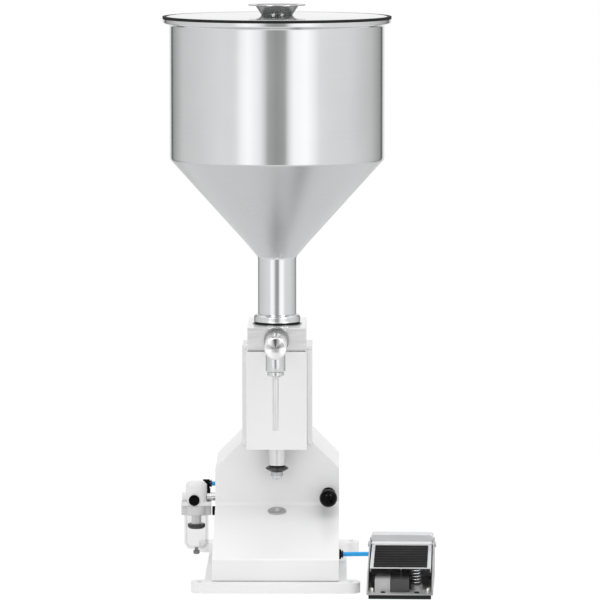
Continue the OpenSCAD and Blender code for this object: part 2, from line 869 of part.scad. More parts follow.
module filter_ring() {
    lug_x = bowl_d / 2 - ring_lug_in;
    lug_y = lug_d / 2 - ring_lug_in;
    color("lightgray") at_filter() difference() {
        union() {
            ring(bowl_d / 2 - ring_inset, head_bore_r, ring_high - ring_low, ring_low);
            box(-lug_w / 2, -lug_x, -lug_y, lug_y, ring_low, ring_high);
            box(lug_x, lug_w / 2, -lug_y, lug_y, ring_low, ring_high);
        }
        translate([0, 0, ring_low - over])
            cylinder(r = bowl_d / 2 - bowl_t - ring_inset, h = ring_seat + over);
        along_y(-head_r - plug_l, -plug_side, plug_z) cylinder(r = plug_r + gap, h = plug_l + gap);
    }
}

module filter_bowl() {
    r = bowl_d / 2;
    mid_r = r - bowl_round;
    mid_z = bowl_z + bowl_round;
    in_round = bowl_round - bowl_t;
    color("aliceblue", 0.4) at_filter() rotate_extrude() polygon(concat(
        [[r - bowl_t, ring_low], [r, ring_low]],
        [for (a = [0:bowl_step:90]) [mid_r + bowl_round * cos(a), mid_z - bowl_round * sin(a)]],
        [[drain_hole_r, bowl_z], [drain_hole_r, bowl_z + bowl_t]],
        [for (a = [90:-bowl_step:0]) [mid_r + in_round * cos(a), mid_z - in_round * sin(a)]]));
}

module filter_element() {
    low = baffle_low + baffle_h;
    color("ivory") at_filter()
        ring(element_r, element_r - element_wall, ring_low + ring_seat - low, low);
}

module filter_baffle() {
    color("black") at_filter() {
        translate([0, 0, baffle_low])
            cylinder(r1 = baffle_r - baffle_taper, r2 = baffle_r, h = baffle_taper);
        translate([0, 0, baffle_low + baffle_taper])
            cylinder(r = baffle_r, h = baffle_h - baffle_taper);
    }
}

module filter_plug() {
    color("black") along_y(filter_y - head_r - plug_l, -filter_x - plug_side, plug_z)
        cylinder(r = plug_r, h = plug_l);
}

module drain_valve() {
    color("dimgray") at_filter() {
        translate([0, 0, drain_low]) cylinder(r1 = drain_r - over, r2 = drain_r, h = drain_head_h);
        translate([0, 0, drain_low + drain_head_h - over / 2])
            cylinder(r = drain_stem_r, h = bowl_z + bowl_t - drain_low - drain_head_h + over);
    }
}

module wall_nipple() {
    x0 = -filter_x + head_r;
    wall = -house_w / 2;
    color("gainsboro") difference() {
        union() {
            along_x(x0, filter_y, nipple_z) cylinder(r = nipple_r, h = wall - x0 - over);
            along_x(wall - boss_l, filter_y, nipple_z) cylinder(r = boss_r, h = boss_l);
            along_x(wall - over, filter_y, nipple_z)
                cylinder(r = nipple_hole_r - fit, h = sheet_t + 2 * over);
        }
        along_x(x0 - over, filter_y, nipple_z)
            cylinder(r = nipple_bore_r, h = wall - x0 + 2 * over + wall_cut);
    }
}

silencer_r = 6.5;
silencer_l = 4.6;

module silencer() {
    color("black") {
        along_x(-house_w / 2 - silencer_l, silencer_y, silencer_z)
            cylinder(r = silencer_r, h = silencer_l);
        along_x(-house_w / 2 - over, silencer_y, silencer_z)
            cylinder(r = silencer_hole_r - fit, h = wall_cut);
    }
}

// Push-in fittings, their release rings and the hoses

hose_r = hose_d / 2;
hose_fit = 0.12;
hose_bore_r = hose_r + hose_fit;
ring_out_r = 4.5;
ring_flange_r = 5.6;
ring_flange_t = 1.5;
ring_sleeve = 4;
ring_fit = 0.1;
socket_r = ring_out_r + ring_fit;
ring_stand = ring_travel + gap;
socket_depth = ring_sleeve + ring_travel + gap - ring_stand;
elbow_out = 9;
elbow_mouth = -wall_x - elbow_out;
elbow_r = 6.2;
elbow_back = 9.5;
elbow_hose_depth = 5.5;
stem_low = 95.5;
stem_top = 111;
stem_hex_r = 5.6;
stem_r_top = 4.4;
fitting_r = 7;
fitting_out = 3;
fitting_body_r = 5.5;
fitting_in = 8;

// The socket of a push-in fitting, its mouth on the origin and opening along +Z
module socket(depth) {
    translate([0, 0, -socket_depth]) cylinder(r = socket_r, h = socket_depth + over);
    translate([0, 0, -depth]) cylinder(r = hose_bore_r, h = depth + over);
}

// A release ring at rest, in the same place
module release_ring() {
    translate([0, 0, ring_stand]) ring(ring_flange_r, hose_bore_r, ring_flange_t);
    ring(ring_out_r, hose_bore_r, ring_sleeve + over / 2, ring_stand - ring_sleeve);
}

module elbow_fitting() {
    x = -filter_x + stem_dx;
    color("black") difference() {
        union() {
            along_x(elbow_mouth - elbow_back, elbow_y, elbow_z) cylinder(r = elbow_r, h = elbow_back);
            translate([x, elbow_y, stem_low]) cylinder(r = stem_hex_r, h = stem_top - stem_low, $fn = 6);
            translate([x, elbow_y, stem_top - over]) cylinder(r = stem_r_top, h = elbow_z - stem_top);
            translate([x, elbow_y, stem_low - stub_l]) cylinder(r = stub_r, h = stub_l + over);
        }
        along_x(elbow_mouth, elbow_y, elbow_z) socket(elbow_hose_depth);
    }
}

wall_mouth = house_w / 2 + fitting_out;
wall_hose_depth = 9;

module wall_fitting() {
    color("black") difference() {
        union() {
            along_x(house_w / 2, fitting_y, fitting_z) cylinder(r = fitting_r, h = fitting_out);
            along_x(house_w / 2 - sheet_t - fitting_in, fitting_y, fitting_z)
                cylinder(r = fitting_body_r, h = sheet_t + fitting_in + over);
        }
        along_x(wall_mouth, fitting_y, fitting_z) socket(wall_hose_depth);
    }
}

module release_ring_left() {
    color("midnightblue") along_x(elbow_mouth, elbow_y, elbow_z) release_ring();
}

module release_ring_right() {
    color("midnightblue") along_x(wall_mouth, fitting_y, fitting_z) release_ring();
}

valve_x = [-50, -10];
valve_y = [40, 110];
valve_h = 30;
valve_top = base_top + valve_h;
supply_in = [14.5, 5, 7];
supply_hose = [[-wall_x - supply_in[0], elbow_y, elbow_z], [-wall_x - supply_in[1], elbow_y, elbow_z],
    [-wall_x + supply_in[2], elbow_y, elbow_z], [-70, 44.5, 115.5],
    [-64, 48, 110], [-62, 54, 100], [-62, 63, 86], [-63, 70, 70], [-64, 74, 54], [-63, 75, 42],
    [-60, 75, 34], [-56.5, 75, 29.8], [-53.5, 75, 29], [-50, 75, 29]];
upper_hose = [[-14, 2, 251], [-14, 10, 251], [-14, 17, 249], [-14, 23, 243], [-14, 26, 234],
    [-14, 27, 218], [-14, 28, 200], [-14, 29, 180], [-14, 30, 150], [-15, 34, 120],
    [-18, 42, 90], [-20, 50, 68], [-20, 52, 56], [-20, 52, 44]];
lower_hose = [[14, 2, 186.5], [14, 9, 186.5], [14, 15, 184.4], [14, 20, 177.5], [14, 23, 166],
    [13, 27, 146], [8, 38, 116], [-6, 56, 84], [-18, 72, 66], [-22, 76, 56], [-22, 76, 44]];
signal_hose = [[knob_x, 38.5, 109], [knob_x, 46, 109], [71, 54, 106], [68, 62, 98],
    [62, 70, 84], [52, 76, 64], [40, 80, 46], [26, 82, 34], [12, 82, 29], [0, 82, 28], [-10, 82, 28]];
foot_in = [9.5, 17];
foot_hose = [[wall_x - foot_in[0], fitting_y, fitting_z], [wall_x - foot_in[1], fitting_y, fitting_z],
    [60, -7, 25], [50, 2, 25], [42, 14, 25], [34, 28, 25], [25, 42, 25.5], [14, 53, 26],
    [4, 59, 26], [-4, 60, 26], [-10, 60, 26]];
pedal_route = [[81, -10, 25], [86, -10, 25], [92, -10, 25], [98, -10, 25], [105, -10, 25.1],
    [110.8, -10.4, 25.3], [116.5, -11.7, 25.5], [122, -13.8, 25.9], [127.1, -16.6, 26.2],
    [131.7, -20.2, 26.6], [135.7, -24.4, 27], [139.1, -29.1, 27.3], [141.8, -34.3, 27.6],
    [143.7, -39.8, 27.8], [144.8, -45.6, 28], [145, -51.4, 28], [144.8, -57, 28],
    [144.6, -62, 28], [144.4, -67, 28]];

module air_hoses() {
    color("deepskyblue") {
        sweep(supply_hose, hose_r);
        sweep(upper_hose, hose_r);
        sweep(lower_hose, hose_r);
        sweep(signal_hose, hose_r);
        sweep(foot_hose, hose_r);
    }
}

module pedal_hose() {
    color("deepskyblue") sweep(pedal_route, hose_r);
}

module main_valve() {
    color("silver") box(valve_x[0], valve_x[1], valve_y[0], valve_y[1], base_top, valve_top);
}

// Foot pedal

pedal_x = 172.3;
pedal_y = -157.5;
strip_w = 85;
strip_d = 14;
strip_h = 5.5;
floor_t = 2;
floor_top = strip_h + floor_t;
cheek_t = 1.8;
cheek_front_h = 16;
cheek_rear_z = 58.5;
half_l = pedal_l / 2;
half_w = pedal_w / 2;
case_d = 27;
case_top = 66;
case_t = 1.8;
case_w = 86;
case_round = 4;
case_gap = 7;
hinge_y = half_l - case_d - case_gap;
pin_r = 2.5;
tread_t = 1.6;
tread_skirt = 9;
mat_l = 104;
mat_t = 1.6;
rib_h = 0.9;
rib_n = 9;
rib_share = 0.45;
tread_r = 4.2;
knuckle_in = 3;
hole_x = 23;
hole_r = 3.4;
hole_in = 9;
hole_y = -half_l + hole_in;
valve_box_w = 25;
valve_box_l = 95;
valve_box_y = -26.5;
valve_box_h = 17;
valve_off = 0;
side_block_w = 21;
side_block_x = -23.7;
side_block_h = 17.5;
spring_x = 22;
spring_in = 39;
spring_y = -half_l + spring_in;
cup_r = 9;
cup_h = 6;
plunger_r = 2.5;
plunger_y = 0;
plunger_seat = 6;
plunger_bore = 12;
plunger_lift = 2;
port_x = -31;
port_z = 28;
port_len = 10;
port_outer_r = 6;
port_stub_r = 5;
port_in = 3;
port_floor = 0.5;
port_bore_r = 3.7;
bolt_side = 6.5;
bolt_in = 20;
bolt_x = half_w - bolt_side;
bolt_y = -half_l + bolt_in;
bolt_r = 3.8;
bolt_h = 5.5;
plug_head_h = 2.5;

module at_pedal() translate([pedal_x, pedal_y, 0]) rotate([0, 0, -pedal_turn]) children();
module on_tread() translate([0, hinge_y, hinge_z]) rotate([tread_slope, 0, 0]) children();

module pedal_strips() {
    color("black") at_pedal() for (end = [-1, 1])
        translate([-strip_w / 2, end * (half_l - strip_d / 2) - strip_d / 2, 0])
            cube([strip_w, strip_d, strip_h]);
    color("black") at_pedal() for (x = [-hole_x, hole_x])
        translate([x, hole_y, strip_h - over]) cylinder(r = hole_r - fit, h = floor_t + plug_head_h);
}

module pedal_base() {
    color("silver") at_pedal() difference() {
        union() {
            box(-half_w, half_w, -half_l, half_l, strip_h, floor_top);
            for (sx = [-1, 1]) translate([sx * (half_w - cheek_t / 2) - cheek_t / 2, 0, 0])
                rotate([90, 0, 90]) linear_extrude(cheek_t) polygon([
                    [-half_l, strip_h], [-half_l, strip_h + cheek_front_h / 2],
                    [-half_l + cheek_front_h, strip_h + cheek_front_h],
                    [hinge_y - 4 * tread_r, cheek_rear_z], [half_l, cheek_rear_z],
                    [half_l, strip_h]]);
            box(side_block_x - side_block_w / 2, side_block_x + side_block_w / 2,
                valve_box_y - valve_box_l / 2, valve_box_y + valve_box_l / 2, floor_top - over / 2,
                floor_top + side_block_h);
            translate([spring_x, spring_y, floor_top - over / 2])
                cylinder(r = cup_r, h = cup_h + over / 2);
        }
        for (x = [-hole_x, hole_x]) translate([x, hole_y, strip_h - over])
            cylinder(r = hole_r, h = floor_t + 2 * over);
        for (sx = [-1, 1]) along_x(sx * half_w - 2 * cheek_t, hinge_y, hinge_z)
            cylinder(r = pin_r + fit, h = 4 * cheek_t);
    }
}

module pedal_pin() {
    color("silver") at_pedal() {
        along_x(-half_w - cheek_t / 2, hinge_y, hinge_z) cylinder(r = pin_r, h = pedal_w + cheek_t);
        for (sx = [-1, 1]) along_x(sx * (half_w + cheek_t / 2 + gap) - cheek_t / 2, hinge_y, hinge_z)
            cylinder(r = 1.5 * pin_r, h = cheek_t);
    }
}

module case_outline(inset) {
    w = case_w / 2 - inset;
    r = case_round - inset;
    translate([-w, floor_top]) square([2 * w, case_top - inset - r - floor_top]);
    translate([-w + r, floor_top]) square([2 * w - 2 * r, case_top - inset - floor_top]);
    for (sx = [-1, 1]) translate([sx * (w - r), case_top - inset - r]) circle(r = r, $fn = 2 * small_fn);
}

module pedal_cover() {
    color("silver") at_pedal() difference() {
        translate([0, half_l, 0]) rotate([90, 0, 0]) linear_extrude(case_d) case_outline(0);
        translate([0, half_l - case_t, -over]) rotate([90, 0, 0])
            linear_extrude(case_d - 2 * case_t) union() {
                case_outline(case_t);
                translate([-case_w / 2 + case_t, 0])
                    square([case_w - 2 * case_t, floor_top + 2 * over]);
            }
        along_y(half_l - case_t - over, port_x, port_z)
            cylinder(r = port_stub_r + fit, h = case_t + 2 * over);
    }
}

module pedal_fitting() {
    color("goldenrod") at_pedal() difference() {
        union() {
            along_y(half_l, port_x, port_z) cylinder(r = port_outer_r, h = port_len, $fn = 6);
            along_y(half_l - case_t - port_in, port_x, port_z)
                cylinder(r = port_stub_r, h = case_t + port_in + over);
        }
        along_y(half_l + port_floor, port_x, port_z) cylinder(r = port_bore_r, h = port_len + over);
    }
}

// Height of the treadle's underside at a place along the pedal
function under_z(y) = hinge_z + (y - hinge_y) * tan(tread_slope)
    - tread_t / cos(tread_slope);

module pedal_valve() {
    top = floor_top + valve_box_h;
    color("dimgray") at_pedal() difference() {
        box(valve_off - valve_box_w / 2, valve_off + valve_box_w / 2, valve_box_y - valve_box_l / 2,
            valve_box_y + valve_box_l / 2, floor_top, top);
        translate([valve_off, plunger_y, top - plunger_bore])
            cylinder(r = plunger_r + fit, h = plunger_bore + over);
    }
}

module pedal_plunger() {
    top = under_z(plunger_y - plunger_r) - 2 * gap;
    low = floor_top + valve_box_h - plunger_seat + plunger_lift;
    color("silver") at_pedal() translate([valve_off, plunger_y, 0]) {
        translate([0, 0, low]) cylinder(r = plunger_r, h = top - low - over);
        translate([0, 0, top - over]) cylinder(r1 = plunger_r, r2 = plunger_r / 2, h = over);
    }
}

spring_low = floor_top + cup_h + gap;
spring_high = under_z(spring_y - spring_d / 2) - gap;
curl_rings = 8;
spring_mid_low = spring_low + wire_d / 2;
spring_mid_high = spring_high - wire_d / 2;
spring_steps = curls * curl_rings;
spring_points = [for (i = [0:spring_steps]) [
    spring_x + spring_d / 2 * cos(360 * i / curl_rings),
    spring_y + spring_d / 2 * sin(360 * i / curl_rings),
    spring_mid_low + (spring_mid_high - spring_mid_low) * i / spring_steps]];
spring_pitch = (spring_mid_high - spring_mid_low) / curls;
echo(spring_gap = spring_pitch - wire_d);

module pedal_spring() {
    color("silver") at_pedal() sweep(spring_points, wire_d / 2, 6);
}

module pedal_screws() {
    color("silver") at_pedal() for (sx = [-1, 1]) translate([sx * bolt_x, bolt_y, floor_top])
        cylinder(r = bolt_r, h = bolt_h);
}

module pedal_treadle() {
    color("silver") at_pedal() on_tread() difference() {
        union() {
            box(-tread_w / 2, tread_w / 2, -tread_l, -tread_r / 2, -tread_t, 0);
            for (sx = [-1, 1]) translate([sx * (tread_w / 2 - tread_t / 2) - tread_t / 2, 0, 0])
                rotate([90, 0, 90]) linear_extrude(tread_t) polygon([
                    [-tread_l, 0], [-tread_l, -tread_t], [-tread_l + tread_skirt, -tread_skirt],
                    [-tread_r, -tread_skirt], [0, -knuckle_in], [0, 0]]);
            along_x(-tread_w / 2, 0, 0) cylinder(r = tread_r, h = tread_w);
        }
        along_x(-tread_w / 2 - over, 0, 0) cylinder(r = pin_r + fit, h = tread_w + 2 * over);
    }
}

module pedal_mat() {
    pitch = mat_l / rib_n;
    color("dimgray") at_pedal() on_tread() translate([-mat_w / 2, -tread_l + tread_t, 0]) {
        cube([mat_w, mat_l - tread_r, mat_t]);
        for (i = [0:rib_n - 2]) translate([0, pitch * (i + 1 - rib_share / 2), 0])
            cube([mat_w, pitch * rib_share, mat_t + rib_h]);
    }
}

base_plate();
body_shell();
body_back();
panel_screws();
column_channel();
column_cover();
valve_block();
pump_barrel();
air_barrel();
air_top_cap();
air_bottom_cap();
seal_rings();
spout_collar();
spout_body();
nozzle_nut();
nozzle_tube();
hopper_shell();
hopper_ferrule();
ferrule_gasket();
ferrule_seat();
stop_screw();
hand_valve_body();
hand_valve_nut();
filter_head();
filter_ring();
filter_bowl();
filter_element();
filter_baffle();
filter_plug();
elbow_fitting();
air_hoses();
wall_nipple();
silencer();
main_valve();
wall_fitting();
pedal_hose();
pedal_base();
pedal_cover();
pedal_pin();
pedal_valve();
pedal_fitting();
pedal_spring();
pedal_strips();
pedal_screws();
lid();
lid_seal();
lid_knob();
piston_rod();
piston_seals();
valve_shuttle();
stop_collar();
adjuster_nut();
hand_valve_knob();
pedal_treadle();
pedal_mat();
pedal_plunger();
drain_valve();
release_ring_left();
release_ring_right();
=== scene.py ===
import math

import bmesh
import bpy
import numpy as np
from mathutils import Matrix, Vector


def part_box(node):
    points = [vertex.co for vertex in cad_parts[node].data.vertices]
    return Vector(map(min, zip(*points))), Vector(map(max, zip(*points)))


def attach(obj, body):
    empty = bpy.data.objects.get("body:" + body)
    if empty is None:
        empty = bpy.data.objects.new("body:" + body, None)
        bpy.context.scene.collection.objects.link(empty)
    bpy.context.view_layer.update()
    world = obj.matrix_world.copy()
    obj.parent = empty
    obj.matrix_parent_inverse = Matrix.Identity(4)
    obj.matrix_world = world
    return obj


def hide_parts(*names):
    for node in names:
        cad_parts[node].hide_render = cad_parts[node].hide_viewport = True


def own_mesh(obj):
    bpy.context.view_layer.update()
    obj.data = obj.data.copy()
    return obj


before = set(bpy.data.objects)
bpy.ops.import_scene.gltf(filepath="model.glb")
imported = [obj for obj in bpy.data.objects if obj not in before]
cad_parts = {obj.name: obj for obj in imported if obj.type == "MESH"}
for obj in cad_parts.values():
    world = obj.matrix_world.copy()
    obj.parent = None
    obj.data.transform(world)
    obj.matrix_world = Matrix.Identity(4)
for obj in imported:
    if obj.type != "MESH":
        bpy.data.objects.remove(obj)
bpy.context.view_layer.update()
mm = 0.001

# Camera: it stands 6.58 m away and looks down at the middle of the picture

photo = {"distance": 6.58, "height": 1.048, "turn": 0.76, "aim": (0.032, 0.0, 0.383), "lens": 283.4}


def makeCamera(s):
    # The eye is at distance (sin a, -cos a) from the machine's axis and looks at the aim
    turn = math.radians(s["turn"])
    eye = Vector((s["distance"] * math.sin(turn), -s["distance"] * math.cos(turn), s["height"]))
    data = bpy.data.cameras.new("photo_camera")
    data.lens = s["lens"]
    data.sensor_width = 36
    data.clip_start = 0.1
    data.clip_end = 60
    camera = bpy.data.objects.new("photo_camera", data)
    bpy.context.scene.collection.objects.link(camera)
    camera.location = eye
    camera.rotation_mode = "QUATERNION"
    camera.rotation_quaternion = (Vector(s["aim"]) - eye).to_track_quat("-Z", "Y")
    bpy.context.scene.camera = camera


makeCamera(photo)
bpy.context.scene.view_settings.view_transform = "Standard"


# Node trees: a Signal is one output, and arithmetic on it makes the nodes


class Signal:
    def __init__(self, tree, output):
        self.tree = tree
        self.output = output

    def math(self, operation, *others):
        inputs = dict(enumerate((self,) + others))
        return self.tree.node("ShaderNodeMath", inputs, operation=operation)

    def __add__(self, other):
        return self.math("ADD", other)

    def __radd__(self, other):
        return self + other

    def __sub__(self, other):
        return self.math("SUBTRACT", other)

    def __rsub__(self, other):
        return self * -1.0 + other

    def __mul__(self, other):
        return self.math("MULTIPLY", other)

    def __rmul__(self, other):
        return self * other


class Tree:
    def __init__(self, nodeTree):
        self.nodes = nodeTree.nodes
        self.links = nodeTree.links
        self.nodes.clear()

    def node(self, kind, inputs=None, output=0, **settings):
        made = self.nodes.new(kind)
        for key, value in settings.items():
            setattr(made, key, value)
        for key, value in (inputs or {}).items():
            if isinstance(value, Signal):
                self.links.new(value.output, made.inputs[key])
            else:
                made.inputs[key].default_value = value
        return Signal(self, made.outputs[output]) if made.outputs else None

    def place(self):
        return self.node("ShaderNodeTexCoord", output="Object")

    def scaled(self, vector, factors):
        return self.node("ShaderNodeVectorMath", {0: vector, 1: factors}, operation="MULTIPLY")

    def parts(self, vector):
        return [self.node("ShaderNodeSeparateXYZ", {0: vector}, output=i) for i in range(3)]

    def joined(self, x, y, z):
        return self.node("ShaderNodeCombineXYZ", {0: x, 1: y, 2: z})

    def noise(self, vector, scale, detail, rough=0.5):
        return self.node("ShaderNodeTexNoise", {"Vector": vector, "Scale": scale, "Detail": detail,
                                                "Roughness": rough})

    def span(self, value, low, high, toLow, toHigh):
        return self.node("ShaderNodeMapRange", {0: value, 1: low, 2: high, 3: toLow, 4: toHigh})

    def ramp(self, place, stops, top=1.0):
        # Brightness by angle: stops are (degrees, value), and place runs from 0 to 1 over a turn
        made = self.node("ShaderNodeValToRGB", {0: place})
        bar = made.output.node.color_ramp
        for index, (degrees, value) in ((0, stops[0]), (1, stops[-1])):
            bar.elements[index].position = index
            bar.elements[index].color = grey(value / top)
        for degrees, value in stops[1:-1]:
            bar.elements.new((degrees + 180) / 360).color = grey(value / top)
        return made

    def mixed(self, factor, first, second):
        return self.node("ShaderNodeMix", {0: factor, 6: first, 7: second}, output=2,
                         data_type="RGBA")

    def bump(self, height, distance):
        return self.node("ShaderNodeBump", {"Height": height, "Distance": distance})


def grey(value):
    return (value, value, value, 1.0)


def surface(name, color, rough, detail, **constants):
    # A Principled material: constants sit on the shader, detail returns the sockets that vary
    made = bpy.data.materials.new(name)
    made.use_nodes = True
    tree = Tree(made.node_tree)
    shader = tree.node("ShaderNodeBsdfPrincipled", {"Base Color": color, "Roughness": rough})
    node = shader.output.node
    for key, value in constants.items():
        node.inputs[key.replace("_", " ")].default_value = value
    for key, value in detail(tree).items():
        tree.links.new(value.output, node.inputs[key])
    tree.node("ShaderNodeOutputMaterial", {"Surface": shader})
    return made


def spun(color, low, high, depth):
    # Fine rings round the hopper's axis: noise over angle, radius and height
    lines = 2600.0

    def detail(tree):
        x, y, z = tree.parts(tree.place())
        angle = y.math("ARCTAN2", x)
        radius = (x * x + y * y).math("SQRT")
        rings = tree.noise(tree.joined(angle * 0.6, radius * lines, z * lines), 1.0, 3.0)
        soft = tree.noise(tree.joined(angle * 2.0, radius * 14.0, z * 14.0), 1.0, 2.0)
        tone = tree.span(rings * 0.5 + soft * 0.5, 0.3, 0.7, 0.0, 1.0)
        dark = tuple(c * 0.93 for c in color[:3]) + (1.0,)
        return {"Base Color": tree.mixed(tone, dark, color),
                "Roughness": tree.span(soft + rings * 0.4, 0.4, 1.0, low, high),
                "Normal": tree.bump(rings, depth)}
    return detail


def brushed(color, stretch, low, high, depth):
    # Straight brush marks: noise drawn out along one direction
    def detail(tree):
        marks = tree.noise(tree.scaled(tree.place(), stretch), 1.0, 4.0, 0.6)
        soft = tree.noise(tree.place(), 35.0, 2.0)
        dark = tuple(c * 0.86 for c in color[:3]) + (1.0,)
        return {"Base Color": tree.mixed(tree.span(marks, 0.3, 0.7, 0.0, 1.0), dark, color),
                "Roughness": tree.span(marks * 0.6 + soft * 0.4, 0.3, 0.7, low, high),
                "Normal": tree.bump(marks, depth)}
    return detail


# Base colour of a turned face by clock angle, 0 at its top: a painted highlight that stands for the
# bow-tie gleam of its rings
painted_gleam_wedges = [(-180, 0.8), (-140, 0.95), (-105, 0.98), (-85, 0.5), (-66, 0.42), (-45, 0.85),
          (-22, 0.9), (-7, 0.2), (4, 0.16), (16, 0.8), (34, 0.9), (52, 0.38), (72, 0.35),
          (88, 0.85), (120, 0.98), (150, 0.78), (180, 0.8)]


def facedRings(height, depth):
    # Turning rings on the elbow's face: noise over the distance from its axis, which lies along y,
    # over a painted bow-tie highlight in the base colour
    def detail(tree):
        x, y, z = tree.parts(tree.place())
        up = z - height
        away = (x * x + up * up).math("SQRT")
        rings = tree.noise(tree.joined(away * 2400.0, 0.0, 0.0), 1.0, 2.0)
        marks = tree.noise(tree.place(), 60.0, 2.0)
        turn = x.math("ARCTAN2", up)
        # Painted highlight: the bow-tie gleam drawn into the base colour by clock angle
        gleam_paint = tree.ramp(tree.span(turn, -math.pi, math.pi, 0.0, 1.0), painted_gleam_wedges)
        fine = tree.span(rings, 0.3, 0.7, 0.0, 0.16)
        return {"Roughness": tree.span(marks, 0.3, 0.7, 0.1, 0.2),
                "Base Color": tree.mixed(fine, gleam_paint, grey(0.4)),
                "Normal": tree.bump(rings, depth)}
    return detail


def moulded(color, low, high, scale, depth, fade):
    # A moulded or painted skin: fine pebble, and a slow drift of tone
    def detail(tree):
        pebble = tree.noise(tree.place(), scale, 2.0)
        drift = tree.noise(tree.place(), 18.0, 2.0)
        dark = tuple(c * fade for c in color[:3]) + (1.0,)
        return {"Base Color": tree.mixed(tree.span(drift, 0.3, 0.7, 0.0, 1.0), dark, color),
                "Roughness": tree.span(drift, 0.3, 0.7, low, high),
                "Normal": tree.bump(pebble, depth)}
    return detail


def clearWall(color, faint, full):
    # Clear plastic, faint where it faces the eye and fuller at its edges
    def detail(tree):
        edge = tree.node("ShaderNodeLayerWeight", {"Blend": 0.25}, output="Facing")
        flow = tree.noise(tree.place(), 90.0, 2.0)
        return {"Alpha": tree.span(edge, 0.2, 1.0, faint, full),
                "Base Color": tree.mixed(flow, tuple(c * 0.9 for c in color[:3]) + (1.0,), color),
                "Roughness": tree.span(flow, 0.3, 0.7, 0.05, 0.12)}
    return detail


def metal(name, tone, rough, detail):
    return surface(name, tone, rough, detail, Metallic=1.0)


def plastic(name, tone, low, high, scale, depth, fade=0.9, **more):
    return surface(name, tone, low, moulded(tone, low, high, scale, depth, fade), **more)


# Base colours, and the finish of each kind of surface; the depth of a bump is in metres

steelTone = (0.66, 0.665, 0.67, 1.0)
coneTone = (0.56, 0.565, 0.57, 1.0)
silverTone = (0.66, 0.665, 0.675, 1.0)
dullTone = (0.5, 0.5, 0.51, 1.0)
aluminiumTone = (0.62, 0.62, 0.63, 1.0)
nickelTone = (0.82, 0.81, 0.79, 1.0)
skins = {
    "barrel": metal("barrel_steel", steelTone, 0.1, spun(steelTone, 0.06, 0.15, 0.000002)),
    "cone": metal("cone_steel", coneTone, 0.3, spun(coneTone, 0.26, 0.36, 0.000006)),
    "handle": metal("handle_steel", grey(0.45), 0.22,
                    brushed(grey(0.45), (60, 60, 900), 0.18, 0.26, 0.000001)),
    "turned": metal("turned_steel", steelTone, 0.12,
                    brushed(steelTone, (300, 300, 900), 0.08, 0.18, 0.000003)),
    "block": metal("block_steel", grey(0.9), 0.3,
                   brushed(grey(0.9), (25, 500, 300), 0.28, 0.44, 0.00001)),
    "faced": metal("faced_steel_painted_gleam", steelTone, 0.14, facedRings(0.334, 0.00001)),
    "knurl": metal("knurled_steel", grey(0.34), 0.14,
                   brushed(grey(0.34), (300, 300, 900), 0.1, 0.2, 0.000003)),
    "bright": metal("bright_steel", grey(0.74), 0.14,
                    brushed(grey(0.74), (300, 300, 900), 0.1, 0.2, 0.000003)),
    "satin": metal("satin_steel", grey(0.74), 0.34,
                   brushed(grey(0.74), (900, 900, 60), 0.3, 0.42, 0.000006)),
    # Dark steel: a painted shadow on the seat under the ferrule, and a painted dark reflection on
    # the adjusting nut
    "blackened": metal("steel_painted_dark", grey(0.09), 0.2,
                       brushed(grey(0.09), (400, 400, 900), 0.14, 0.3, 0.000006)),
    "dull": metal("dull_steel", dullTone, 0.35,
                  brushed(dullTone, (500, 500, 500), 0.28, 0.42, 0.000006)),
    "paint": plastic("white_paint", grey(0.78), 0.3, 0.42, 900.0, 0.00003, fade=0.985,
                     Coat_Weight=0.2, Coat_Roughness=0.15),
    "basePaint": plastic("base_paint", grey(0.78), 0.36, 0.5, 600.0, 0.00006, fade=0.98),
    "rubber": plastic("black_rubber", grey(0.008), 0.6, 0.8, 1200.0, 0.00003, IOR=1.3),
    "gloss": plastic("black_gloss", grey(0.001), 0.05, 0.1, 300.0, 0.000003, IOR=1.16),
    "moulding": plastic("dark_moulding", grey(0.05), 0.3, 0.45, 1500.0, 0.00002),
    "filterWhite": plastic("filter_white", grey(0.8), 0.22, 0.32, 700.0, 0.00001),
    "filterGrey": plastic("filter_grey", grey(0.62), 0.3, 0.4, 900.0, 0.00001),
    "navy": plastic("navy_plastic", (0.008, 0.016, 0.09, 1.0), 0.2, 0.3, 900.0, 0.00001),
    "aluminium": metal("satin_aluminium", aluminiumTone, 0.35,
                       brushed(aluminiumTone, (60, 600, 600), 0.3, 0.45, 0.00001)),
    "silver": surface("silver_paint", silverTone, 0.4,
                      moulded(silverTone, 0.32, 0.46, 700.0, 0.00006, 0.95), Metallic=0.35),
    "casting": surface("casting", grey(0.54), 0.5,
                       moulded(grey(0.54), 0.36, 0.6, 160.0, 0.0006, 0.5), Metallic=0.5),
    "drain": plastic("drain_grey", grey(0.2), 0.3, 0.4, 900.0, 0.00001),
    "nickel": metal("nickel", nickelTone, 0.18,
                    brushed(nickelTone, (900, 300, 300), 0.14, 0.24, 0.000004)),
    "hose": plastic("blue_hose", (0.004, 0.44, 0.95, 1.0), 0.18, 0.28, 400.0, 0.00001,
                    fade=0.96, Coat_Weight=0.2),
    "bowl": surface("clear_bowl", grey(0.4), 0.08, clearWall(grey(0.4), 0.08, 0.6)),
    "element": plastic("filter_element", grey(0.9), 0.7, 0.9, 2500.0, 0.0001),
}
print("materials made:", len(skins))


# Shapes: points are in millimetres, and become metres when the object is made


def finish(piece, skin, body, replaced, smooth=35):
    # Gives the piece its finish and its body, and hides the CAD nodes it replaces
    for part in skin if isinstance(skin, (list, tuple)) else [skin]:
        piece.data.materials.append(skins[part])
    if piece.type == "MESH":
        piece.data.shade_smooth()
        piece.data.set_sharp_from_angle(angle=math.radians(smooth))
    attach(piece, body)
    if replaced:
        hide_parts(*replaced)
    return piece


